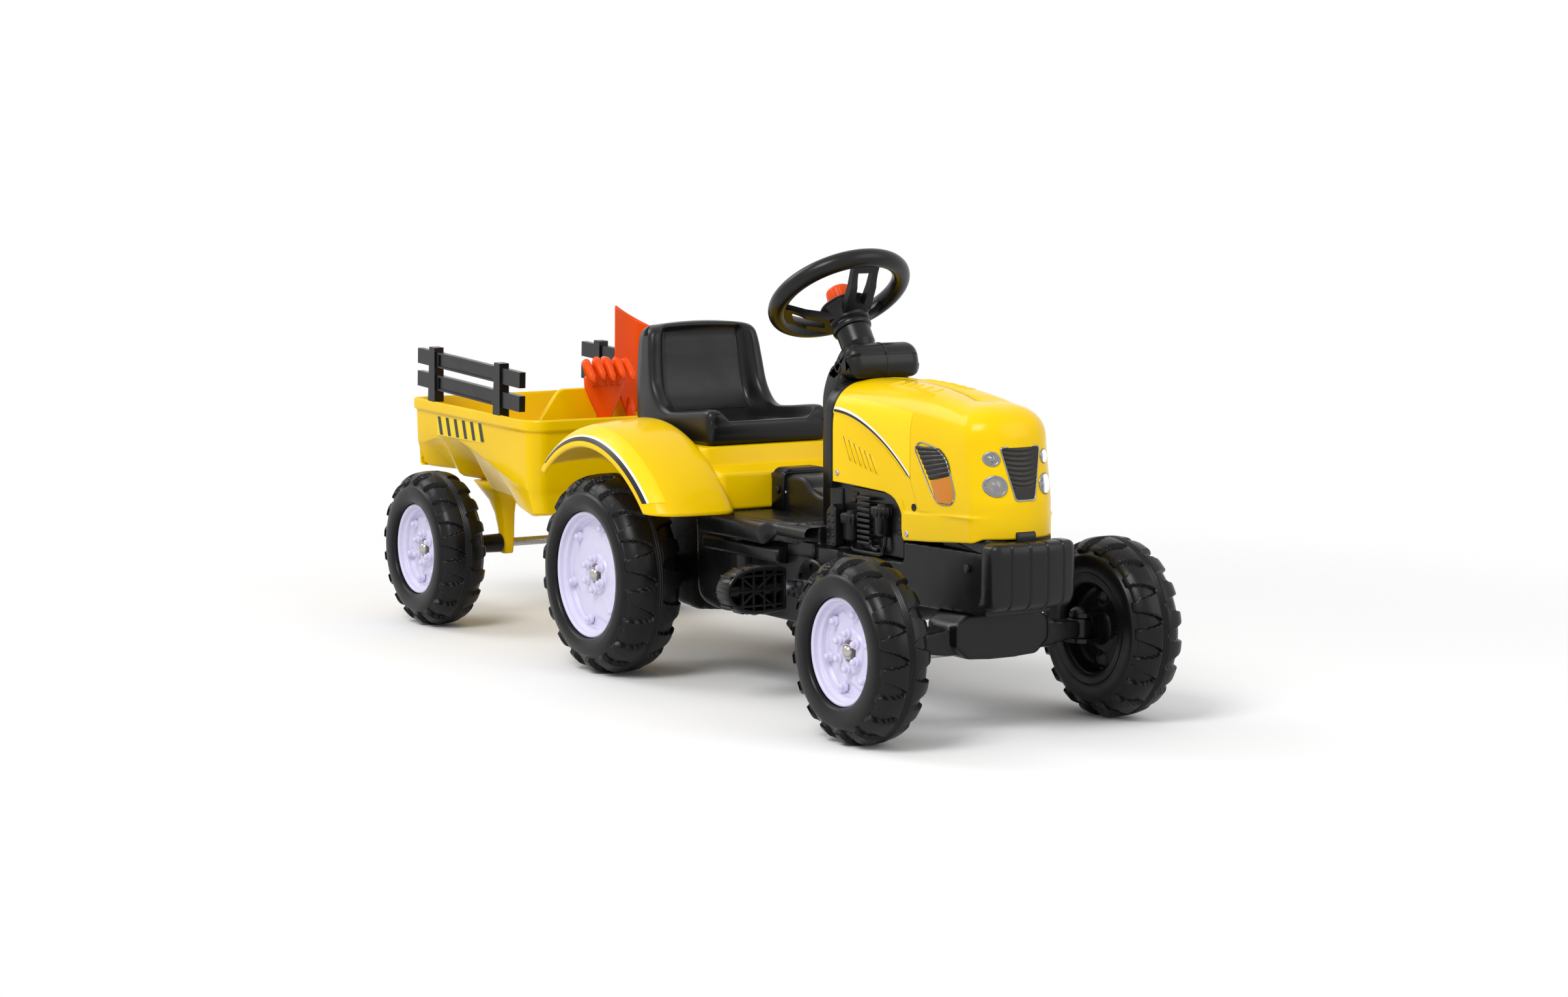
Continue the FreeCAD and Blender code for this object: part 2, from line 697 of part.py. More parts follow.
def face_sketch(body, depth):
    """A sketch parallel to the leaning front face of the bonnet, sunk by a depth."""
    x = f"bonnet_x + bonnet_length - ({depth}) * cos(front_lean)"
    z = f"bonnet_low + bonnet_height - 2 * face_rise - ({depth}) * sin(front_lean)"
    return slanted_sketch(body, x, z, "90 - front_lean", Vector(0, 1, 0))


def on_face(item, y, rise, depth):
    """Place a piece made about its own x axis on the leaning front face."""
    locate(item, f"bonnet_x + bonnet_length - ({rise}) * sin(front_lean) - ({depth}) * cos(front_lean)",
            y,
           f"bonnet_low + bonnet_height - 2 * face_rise + ({rise}) * cos(front_lean)"
           f" - ({depth}) * sin(front_lean)",
           axis=Vector(0, -1, 0), angle=val("front_lean"))


def grille_outline(grow_by):
    """The trapezoid of the grille as pairs (across, up the face), widened by a gap."""
    grille_shares = [
        (0.278, 0), (0.722, 0), (0.833, 0.433), (1, 0.9), (0.926, 1), (0.074, 1), (0, 0.9),
        (0.167, 0.433)]
    return box_points(grille_shares, f"(-grille_half - {grow_by})", f"(2 * grille_half + 2 * {grow_by})",
                      f"(grille_rise - {grow_by})", f"(grille_height + 2 * {grow_by})")


def front_bumper():
    """The moulded weight block on the nose with five rounded segments."""
    body = new_body("front_bumper")
    base = "(nose_x + nose_length)"
    bumper_shares = [(0, 0), (0.472, 0), (0.833, 0.103, 3.889), (0.833, 0.897), (0.472, 1), (0, 1)]
    plan = outline(body, "XY_Plane", box_points(bumper_shares, base, "bumper_depth", "-bumper_half",
            "2 * bumper_half"),
                   "bumper_low")
    grow(body, "Pad", plan, "bumper_height")
    soften(body, "bumper_depth * 0.25", lambda edge: middle(edge).x > val(f"{base} + free_gap")
           and abs(middle(edge).z - val("bumper_low + bumper_height / 2")) > val("bumper_height * 0.45"))
    for share in (-0.6, -0.18, 0.22, 0.62):
        slot = f"bumper_half * {share}"
        cut = outline(body, "XY_Plane", [
            (f"{base} + bumper_depth * 0.91", slot),
                (f"{base} + 1.1 * bumper_depth", f"{slot} - 2 * rib_height"),
            (f"{base} + 1.1 * bumper_depth", f"{slot} + 2 * rib_height")], "bumper_low - free_gap")
        grow(body, "Pocket", cut, "2 * bumper_height", flip=True)
    locate(body)


def dash_cowl():
    """The black tower behind the bonnet with the binnacle that carries the steering column."""
    body = new_body("dash_cowl")
    tower_shares = [
        (0, 0), (1, 0), (1, 0.509), (0.939, 0.94, 0.227), (0.818, 1), (0.182, 1, 0.227), (0.061, 0.94),
        (0, 0.509)]
    frame = outline(body, "YZ_Plane", box_points(tower_shares, "-tower_half", "2 * tower_half",
            "tower_low", "tower_height"),
                    "tower_x")
    grow(body, "Pad", frame, "tower_thickness")
    panel = outline(body, "YZ_Plane", [
        ("-tower_half * 0.7", "tower_low + tower_height * 0.3"),
            ("tower_half * 0.7", "tower_low + tower_height * 0.3"),
        ("tower_half * 0.62", "tower_low + tower_height * 0.85"),
            ("-tower_half * 0.62", "tower_low + tower_height * 0.85")],
        "tower_x")
    grow(body, "Pocket", panel, "tower_thickness * 0.3", flip=True)
    cowl_shares = [
        (0, 0.07), (0.548, 0), (0.548, 0.289), (1, 0.281), (1, 0.842, 0.145), (0.855, 1), (0.516, 0.982),
        (0.194, 0.667)]
    side = outline(body, "XZ_Plane", box_points(cowl_shares, "cowl_x", "cowl_length", "cowl_low",
            "cowl_height"))
    grow(body, "Pad", side, "2 * cowl_half", both=True)
    soften(body, "cowl_half * 0.16", lambda edge: abs(abs(middle(edge).y) - val("cowl_half")) < 0.01
           and middle(edge).z > val("cowl_low + 0.5 * cowl_height"))
    bore = slanted_sketch(body, "column_x", "column_z", "column_tilt")
    add_circle(bore, "0", "0", "bush_radius + free_gap")
    grow(body, "Pocket", bore)
    locate(body)


def rear_body():
    """The yellow rear moulding: plinth under the seat and two wheel arches turned about the rear axle."""
    body = new_body("rear_body")
    plinth_shares = [
        (0, 0.196), (0.096, 0), (1.135, 0), (1.126, 0.554, 0.061), (1.07, 0.673), (1.009, 0.696),
        (0.983, 0.887), (0.774, 0.887), (0.165, 0.887), (0.078, 1), (0, 0.887)]
    low = "(wall_low - rear_radius)"
    side = outline(body, "XZ_Plane", box_points(plinth_shares, "plinth_x", "plinth_length", low,
            "plinth_height"))
    grow(body, "Pad", side, "2 * plinth_half", both=True)
    arch = empty_sketch(body, "YZ_Plane", tilt="90 - fender_start - fender_sweep / 2")
    arch_shares = [
        (0, 0.839), (0.495, 0.79), (0.752, 0.581), (0.881, 0.29), (0.945, 0), (1, 0), (1, 0.161),
        (0.927, 0.5), (0.78, 0.774), (0.495, 0.968), (0, 1)]
    add_loop(arch, box_points(arch_shares, "fender_inner", "(fender_edge - fender_inner)", "fender_lip",
                              "(fender_top - fender_lip)"))
    guard = turn(body, "Revolution", arch, "Y_Axis", "fender_sweep", both=True)
    cheek = outline(body, "XZ_Plane", [
        ("fender_lip * 0.8", low), ("wall_x", low), ("fender_top * 0.86", "fender_top * 0.47"),
        ("fender_top * 0.68", "fender_top * 0.7"), ("fender_lip * 0.64", "fender_lip * 0.76")],
        "-(fender_inner + fender_skin)")
    web = grow(body, "Pad", cheek, "2 * fender_skin")
    twin(body, [guard, web], "XZ_Plane")
    skirt = outline(body, "XZ_Plane", [("-wall_x", f"{low} - wall_x"), ("2 * wall_x", f"{low} - wall_x"),
                                       ("2 * wall_x", low), ("-wall_x", low)])
    grow(body, "Pocket", skirt, "3 * half_width", both=True)
    locate(body, z="rear_radius")


def seat():
    """The hard moulded bucket seat: a side outline, hollowed between its two bolsters."""
    body = new_body("seat")
    seat_shares = [
        (0.073, 0), (0.885, 0), (0.979, 0.048, 0.073), (1, 0.186, 0.083), (0.927, 0.303), (0.594, 0.262),
        (0.438, 0.255, -0.312), (0.229, 0.49), (0.193, 0.931, 0.047), (0.146, 0.993), (0.062, 1, 0.062),
        (0, 0.917), (0.01, 0.269)]
    side = outline(body, "XZ_Plane", box_points(seat_shares, "seat_x", "seat_length", "seat_low",
            "seat_height"))
    grow(body, "Pad", side, "2 * seat_half", both=True)
    pan_shares = [
        (1.021, 0.31), (0.896, 0.214, -0.469), (0.49, 0.103, -0.24), (0.24, 0.269), (0.135, 0.945),
        (0.177, 1.028), (0.438, 1.028), (0.75, 0.372)]
    pan = outline(body, "XZ_Plane", box_points(pan_shares, "seat_x", "seat_length", "seat_low",
            "seat_height"))
    grow(body, "Pocket", pan, "1.46 * seat_half", both=True)
    trim = empty_sketch(body, "YZ_Plane")
    front_shares = [
        (0, -0.076), (1, -0.076), (1, 0.372), (0.96, 0.834, 0.136), (0.818, 1.003),
        (0.182, 1.003, 0.136), (0.04, 0.834), (0, 0.372)]
    add_loop(trim, box_points(front_shares, "-seat_half", "2 * seat_half", "seat_low", "seat_height"))
    add_loop(trim, [("-2 * seat_half", "0"), ("2 * seat_half", "0"),
            ("2 * seat_half", "seat_low + 2 * seat_height"),
                    ("-2 * seat_half", "seat_low + 2 * seat_height")])
    grow(body, "Pocket", trim, "4 * seat_length", both=True)
    locate(body)


def axle_beam():
    """The front axle: a ribbed centre block under the nose and two tapering arms that end in kingpin eyes."""
    body = new_body("axle_beam")
    beam_shares = [
        (0, 0.241), (0.203, 0.111), (0.797, 0.111), (1, 0.241), (1, 0.574), (0.797, 0.704),
        (0.203, 0.704), (0, 0.574)]
    arms = outline(body, "YZ_Plane", box_points(beam_shares, "-beam_half", "2 * beam_half", "beam_low",
            "beam_height"))
    grow(body, "Pad", arms, "beam_thickness", both=True)
    block_shares = [
        (0, 0.333), (0.131, 0.037), (0.346, 0), (0.654, 0), (0.869, 0.037), (1, 0.333), (1, 0.778),
        (0.885, 1), (0.115, 1), (0, 0.778)]
    block = outline(body, "YZ_Plane", box_points(block_shares, "-block_half", "2 * block_half",
            "beam_low", "beam_height"))
    grow(body, "Pad", block, "block_thickness", both=True)
    eyes = rounds(body, "XY_Plane", [("0", "kingpin_y", "eye_radius"), ("0", "-kingpin_y", "eye_radius")],
            "eye_low")
    grow(body, "Pad", eyes, "eye_height")
    pins = rounds(body, "XY_Plane", [("0", "kingpin_y", "kingpin_radius + running_fit"),
                                     ("0", "-kingpin_y", "kingpin_radius + running_fit")],
            "eye_low - free_gap")
    grow(body, "Pocket", pins, "eye_height + beam_height", flip=True)
    locate(body, "wheelbase")


def knuckle(side, sign):
    """A steering knuckle: yoke round the kingpin eye, stub axle and the arm to the tie rod."""
    body = new_body(f"knuckle_{side}")
    top = "(eye_low + eye_height + free_gap)"
    low = "(eye_low - free_gap - yoke_thickness)"
    link_y = "(kingpin_y - eye_radius * 0.7)"
    inner, outer = "(kingpin_y + yoke_reach)", "(kingpin_y + yoke_reach + yoke_thickness)"
    for level in (top, low):
        cheek = outline(body, "XY_Plane", [
            ("-eye_radius", f"{sign} * kingpin_y", f"{sign} * eye_radius * 1.02"),
                ("eye_radius", f"{sign} * kingpin_y"),
            ("eye_radius", f"{sign} * {outer}"), ("-eye_radius", f"{sign} * {outer}")], level)
        grow(body, "Pad", cheek, "yoke_thickness")
    plate = outline(body, "XY_Plane", [("-eye_radius", f"{sign} * {inner}"), ("eye_radius",
            f"{sign} * {inner}"),
                                       ("eye_radius", f"{sign} * {outer}"),
            ("-eye_radius", f"{sign} * {outer}")], low)
    grow(body, "Pad", plate, f"{top} - {low}")
    tip = "(half_width - rim_inset - rim_depth + boss_rise + washer_thickness + nut_height)"
    stub = rounds(body, "XZ_Plane", [("0", "front_radius", "axle_radius")], f"-{sign} * {outer}")
    grow(body, "Pad", stub, f"{tip} - {outer}", flip=sign == "1")
    arm = outline(body, "XY_Plane", [
        ("0", f"{sign} * (kingpin_y - eye_radius * 0.8)"),
            ("0", f"{sign} * (kingpin_y + eye_radius * 0.5)"),
        ("-link_arm - 3.5 * link_radius", f"{sign} * ({link_y} + 2 * link_radius)"),
        ("-link_arm - 3.5 * link_radius", f"{sign} * ({link_y} - 2 * link_radius)")], low)
    grow(body, "Pad", arm, "yoke_thickness")
    play = "(link_radius * 0.8 + 5 * free_gap)"
    slot = outline(body, "XY_Plane", [
        ("-link_arm - link_radius * 2.6", f"{sign} * {link_y} - {play}"),
            ("-link_arm + link_radius * 1.5", f"{sign} * {link_y} - {play}"),
        ("-link_arm + link_radius * 1.5", f"{sign} * {link_y} + {play}"),
            ("-link_arm - link_radius * 2.6", f"{sign} * {link_y} + {play}")],
        f"{low} - free_gap")
    grow(body, "Pocket", slot, "3 * yoke_thickness", flip=True)
    hole = rounds(body, "XY_Plane", [("0", f"{sign} * kingpin_y", "kingpin_radius + running_fit")],
            f"{low} - free_gap")
    grow(body, "Pocket", hole, "2 * eye_height + 4 * yoke_thickness", flip=True)
    locate(body, "wheelbase")


def kingpins():
    """Kingpins with domed heads, one node for each side because each turns with its knuckle."""
    top = "(eye_low + eye_height + free_gap + yoke_thickness)"
    low = "(eye_low - free_gap - yoke_thickness)"
    for side, sign in (("left", "1"), ("right", "-1")):
        body = new_body(f"kingpin_{side}")
        head = "kingpin_radius * 2.2"
        pin = outline(body, "XZ_Plane", [
            ("0", low), ("kingpin_radius", low), ("kingpin_radius", top), (head, top),
                (head, f"{top} + kingpin_radius * 0.5", f"{head} * 1.3"),
            (f"{head} * 0.2", f"{top} + kingpin_radius * 1.5"), ("0", f"{top} + kingpin_radius * 1.5")])
        turn(body, "Revolution", pin, "Z_Axis")
        locate(body, "wheelbase", f"{sign} * kingpin_y")


def tie_rod():
    """The steel rod behind the axle with a pin at each end and a fork that the column's finger moves."""
    body = new_body("tie_rod")
    rod = rounds(body, "XZ_Plane", [("-link_arm", "link_z", "link_radius")])
    link_y = "(kingpin_y - eye_radius * 0.7)"
    grow(body, "Pad", rod, f"2 * {link_y} + 2 * link_radius", both=True)
    pins = rounds(body, "XY_Plane",
            [("-link_arm", f"{sign} * {link_y}", "link_radius * 0.8") for sign in ("1", "-1")], "link_z")
    grow(body, "Pad", pins, "eye_low - link_z + free_gap")
    gap = "(finger_radius + 2 * free_gap)"
    reach = ("(wheelbase - column_x - (column_z - link_z) * tan(column_tilt) + arm_reach / cos(column_tilt)"
             " + 4 * link_radius)")
    for sign in ("1", "-1"):
        prong = outline(body, "XY_Plane", [
            ("-link_arm", f"{sign} * {gap}"), (f"-{reach}", f"{sign} * {gap}"),
            (f"-{reach}", f"{sign} * ({gap} + yoke_thickness)"),
                ("-link_arm", f"{sign} * ({gap} + yoke_thickness)")],
            "link_z - 0.9 * link_radius")
        grow(body, "Pad", prong, "3 * link_radius")
    locate(body, "wheelbase")


def on_column(item, drop="0"):
    """Place a piece made about its own z axis on the leaning column, a distance down from the wheel."""
    locate(item, f"column_x + ({drop}) * sin(column_tilt)", "0",
            f"column_z - ({drop}) * cos(column_tilt)",
           axis=Vector(0, -1, 0), angle=val("column_tilt"))


def steering():
    """Steering wheel, horn knob, column sleeve, shaft with its finger and the screw that holds the sleeve."""
    wheel = new_body("steering_wheel")
    ring = rounds(wheel, "XZ_Plane", [("wheel_ring", "0", "wheel_tube")])
    turn(wheel, "Revolution", ring, "Z_Axis")
    hub_low = "(-wheel_dish - wheel_hub * 0.35)"
    hub = outline(wheel, "XZ_Plane", [
        ("column_radius + running_fit", hub_low), ("wheel_hub", hub_low), ("wheel_hub", f"-wheel_dish"),
        ("horn_radius + rib_height", "-wheel_dish + wheel_hub * 0.3"),
            ("column_radius + running_fit", "-wheel_dish + wheel_hub * 0.3")])
    turn(wheel, "Revolution", hub, "Z_Axis")
    spoke_shares = [
        (0.152, 0.058), (0.304, 0.058), (0.633, 0.42, -0.759), (1, 0.879), (1, 1.072), (0.911, 1.072),
        (0.582, 0.614), (0.253, 0.275)]
    spoke_side = outline(wheel, "XZ_Plane", box_points(spoke_shares, "0", "wheel_ring", hub_low,
            f"(0 - {hub_low})"))
    spoke = grow(wheel, "Pad", spoke_side, "wheel_hub * 1.5", both=True)
    slot = outline(wheel, "XY_Plane", [
        ("wheel_ring * 0.38", "-wheel_hub * 0.28"), ("wheel_ring * 0.8", "-wheel_hub * 0.42"),
        ("wheel_ring * 0.8", "wheel_hub * 0.42"), ("wheel_ring * 0.38", "wheel_hub * 0.28")])
    window = grow(wheel, "Pocket", slot, "3 * wheel_ring", both=True)
    ring_of(wheel, [spoke, window], "Z_Axis", "3")
    on_column(wheel)
    knob = new_body("horn_button")
    base = "(-wheel_dish + wheel_hub * 0.3 + horn_travel + free_gap)"
    stem = "(-wheel_dish + horn_travel + free_gap)"
    shape = outline(knob, "XZ_Plane", [
        ("0", stem), ("column_radius", stem), ("column_radius", base), ("horn_radius * 0.8", base),
            ("horn_radius", f"{base} + horn_height * 0.3"),
        ("horn_radius * 0.94", f"{base} + horn_height * 0.86", "horn_radius * 0.3"),
            ("horn_radius * 0.8", f"{base} + horn_height"), ("0", f"{base} + horn_height")])
    turn(knob, "Revolution", shape, "Z_Axis")
    flute = rounds(knob, "XY_Plane", [("horn_radius * 1.05", "0", "horn_radius * 0.13")],
            f"{base} + horn_height * 0.3")
    cut = grow(knob, "Pocket", flute, "horn_height", flip=True)
    ring_of(knob, [cut], "Z_Axis", "12")
    on_column(knob)
    sleeve = new_body("column_sleeve")
    tube = outline(sleeve, "XZ_Plane", [
        ("column_radius + running_fit", f"{hub_low} - sleeve_length"),
            ("sleeve_radius * 0.8", f"{hub_low} - sleeve_length"),
        ("sleeve_radius", f"{hub_low} - sleeve_length * 0.8"), ("sleeve_radius", hub_low),
            ("column_radius + running_fit", hub_low)])
    turn(sleeve, "Revolution", tube, "Z_Axis")
    on_column(sleeve)
    shaft = new_body("steering_shaft")
    end = "((column_z - nose_low) / cos(column_tilt) + 4 * column_radius)"
    rod = rounds(shaft, "XY_Plane", [("0", "0", "column_radius")], "-wheel_dish")
    grow(shaft, "Pad", rod, f"{end} - wheel_dish", flip=True)
    arm = outline(shaft, "XY_Plane", [
        ("column_radius", "-column_radius"), ("column_radius", "column_radius"),
            ("-arm_reach - finger_radius", "finger_radius * 1.2"),
        ("-arm_reach - finger_radius", "-finger_radius * 1.2")], f"-{end}")
    grow(shaft, "Pad", arm, "yoke_thickness")
    finger = rounds(shaft, "XY_Plane", [("-arm_reach", "0", "finger_radius")], f"-{end}")
    drop = "(column_z - link_z - arm_reach * sin(column_tilt)) / cos(column_tilt)"
    grow(shaft, "Pad", finger, f"{drop} - {end} + link_radius", flip=True)
    on_column(shaft)
    bush = new_body("column_bush")
    face = f"({hub_low} - sleeve_length - free_gap)"
    liner = outline(bush, "XZ_Plane", [
        ("column_radius + running_fit", f"{face} - bush_length * 1.4"),
            ("bush_radius", f"{face} - bush_length * 1.4"),
        ("bush_radius", f"{face} - cover_thickness"), ("sleeve_radius", f"{face} - cover_thickness"),
            ("sleeve_radius", face),
        ("column_radius + running_fit", face)])
    turn(bush, "Revolution", liner, "Z_Axis")
    on_column(bush)


def cranks():
    """Crank covers, the bent crank shaft, its sprocket, the two pedals, the rear axle and its sprocket."""
    covers = new_body("crank_cover_master", node=False)
    disc = outline(covers, "YZ_Plane", [
        ("-bush_length", "axle_radius + running_fit"), ("-bush_length", "bush_radius"),
            ("0", "bush_radius"), ("0", "crank_cover"),
        ("cover_thickness * 0.6", "crank_cover"), ("cover_thickness", "crank_cover * 0.94"),
            ("cover_thickness", "axle_radius + running_fit")])
    turn(covers, "Revolution", disc, "Y_Axis")
    hole = rounds(covers, "XZ_Plane", [("0", "crank_cover * 0.74", "screw_radius * 0.8")])
    ring_of(covers, [grow(covers, "Pocket", hole, "cover_thickness * 3", both=True)], "Y_Axis", "6")
    bush = new_body("axle_bush_master", node=False)
    liner = outline(bush, "YZ_Plane", [
        ("-bush_length", "axle_radius + running_fit"), ("-bush_length", "bush_radius"),
            ("0", "bush_radius"), ("0", "2 * bush_radius"),
        ("cover_thickness", "2 * bush_radius"), ("cover_thickness", "axle_radius + running_fit")])
    turn(bush, "Revolution", liner, "Y_Axis")
    for label, source, x, half, z in (("crank_covers", covers, "crank_x", "frame_half", "crank_z"),
                                      ("axle_bushes", bush, "0", "gearbox_half", "rear_radius")):
        pair_of(source, label, x, half, z)
    crank = new_body("crank_shaft")
    face = "(frame_half + cover_thickness + 3 * free_gap)"
    outer = f"({face} + crank_arm_thickness)"
    axle = rounds(crank, "XZ_Plane", [("0", "0", "axle_radius")])
    grow(crank, "Pad", axle, f"2 * {face} + crank_arm_thickness", both=True)
    for sign, way in (("1", "1"), ("-1", "-1")):
        half = "crank_arm_width / 2"
        arm = outline(crank, "XZ_Plane", [
            ("0", f"{way} * {half}", "crank_arm_width * 0.51"), ("0", f"-{way} * {half}"),
            (f"{way} * crank_throw", f"-{way} * {half} * 0.75", "crank_arm_width * 0.384"),
                (f"{way} * crank_throw", f"{way} * {half} * 0.75")],
            f"-{sign} * {face}")
        grow(crank, "Pad", arm, "crank_arm_thickness", flip=sign == "1")
        spindle = rounds(crank, "XZ_Plane", [(f"{way} * crank_throw", "0", "axle_radius * 0.8")],
                f"-{sign} * {outer}")
        grow(crank, "Pad", spindle, "pedal_gap + pedal_width * 0.9", flip=sign == "1")
    locate(crank, "crank_x", "0", "crank_z")
    for side, sign in (("left", "1"), ("right", "-1")):
        pedal = new_body(f"pedal_{side}")
        thick, high = "pedal_thickness", "pedal_height"
        plate = outline(pedal, "YZ_Plane", [
            ("0", f"-{high} * 0.42"), ("pedal_width * 0.6", f"-{high} / 2", f"{high} * 0.51"),
                ("pedal_width * 0.6", f"{high} / 2"),
            ("0", f"{high} * 0.42")])
        grow(pedal, "Pad", plate, thick, both=True)
        soften(pedal, f"{thick} * 0.2",
                lambda edge: abs(abs(middle(edge).x) - val("pedal_thickness / 2")) < 0.1
               and middle(edge).y > val("pedal_width * 0.1"))
        for share in (-0.32, -0.11, 0.11, 0.32):
            groove = outline(pedal, "XZ_Plane", [
                (f"{thick} * 0.38", f"{high} * ({share} - 0.06)"), (thick, f"{high} * ({share} - 0.06)"),
                (thick, f"{high} * ({share} + 0.06)"), (f"{thick} * 0.38", f"{high} * ({share} + 0.06)")],
                    "-pedal_width * 0.48")
            grow(pedal, "Pocket", groove, "pedal_width * 0.8", both=True)
        bore = rounds(pedal, "XZ_Plane", [("0", "0", "axle_radius * 0.8 + running_fit")])
        grow(pedal, "Pocket", bore, "pedal_width * 1.86", both=True)
        throw = "crank_throw" if sign == "1" else "-crank_throw"
        locate(pedal, f"crank_x + {throw}", f"{sign} * ({outer} + pedal_gap)", "crank_z",
                angle=0.0 if sign == "1" else 180.0)
    rear = new_body("rear_axle")
    tip = "(half_width - rim_inset - rim_depth + boss_rise + washer_thickness + nut_height)"
    rod = rounds(rear, "XZ_Plane", [("0", "0", "axle_radius")])
    grow(rear, "Pad", rod, f"2 * {tip}", both=True)
    locate(rear, "0", "0", "rear_radius")


def sprockets_and_chain():
    """Two toothed wheels and the roller chain that joins them inside the frame."""
    stations = {"crank": ("crank_x", "crank_z"), "axle": ("0", "rear_radius")}
    for name, (x, z) in stations.items():
        body = new_body(f"{name}_sprocket")
        teeth = f"{name}_teeth"
        pitch = f"(chain_pitch * {teeth} / 6.2832)"
        disc = rounds(body, "XZ_Plane", [("0", "0", f"{pitch} - roller_radius * 0.8 - free_gap"),
                ("0", "0", "axle_radius + running_fit")])
        grow(body, "Pad", disc, "sprocket_thickness", both=True)
        valley = rounds(body, "XZ_Plane", [("0", pitch, "roller_radius * 1.4")])
        ring_of(body, [grow(body, "Pocket", valley, "2 * sprocket_thickness", both=True)], "Y_Axis",
                teeth)
        locate(body, x, "chain_y", z)
    chain = doc.addObject("Part::Feature", "chain")
    chain.Label = "chain"
    chain.Shape = chain_shape()
    nodes.append(chain)
    locate(chain, "0", "chain_y", "0")


def chain_shape():
    """Side plates and rollers laid evenly along the loop round both sprockets."""
    radii = [val(f"chain_pitch * {name}_teeth / 2 / {math.pi}") for name in ("axle", "crank")]
    ends = [Vector(0, 0, val("rear_radius")), Vector(val("crank_x"), 0, val("crank_z"))]
    line = ends[1] - ends[0]
    lean = math.atan2(line.z, line.x)
    open_angle = math.acos((radii[0] - radii[1]) / line.Length)

    def rim_point(index, angle, reach=0.0):
        return ends[index] + Vector(math.cos(angle), 0, math.sin(angle)) * (radii[index] + reach)

    def loop(reach):
        up, down = lean + open_angle, lean - open_angle
        top = Part.LineSegment(rim_point(0, up, reach), rim_point(1, up, reach))
        front = Part.Arc(rim_point(1, up, reach), rim_point(1, lean, reach), rim_point(1, down, reach))
        bottom = Part.LineSegment(rim_point(1, down, reach), rim_point(0, down, reach))
        back = Part.Arc(rim_point(0, down, reach), rim_point(0, lean + math.pi, reach),
                rim_point(0, up, reach))
        return Part.Wire([curve.toShape() for curve in (top, front, bottom, back)])

    plate, roller = val("link_thickness"), val("roller_radius")
    gap = val("sprocket_thickness + 2 * free_gap")
    solids = []
    for start in (gap / 2, -gap / 2 - plate):
        band = Part.Face(loop(roller)).cut(Part.Face(loop(-roller))).extrude(Vector(0, plate, 0))
        band.translate(Vector(0, start, 0))
        solids.append(band)
    path = loop(0)
    count = round(path.Length / val("chain_pitch"))
    for spot in path.discretize(count + 1)[:-1]:
        solids.append(Part.makeCylinder(roller * 0.8, gap, spot - Vector(0, gap / 2, 0), Vector(0, 1, 0)))
    return Part.makeCompound(solids)


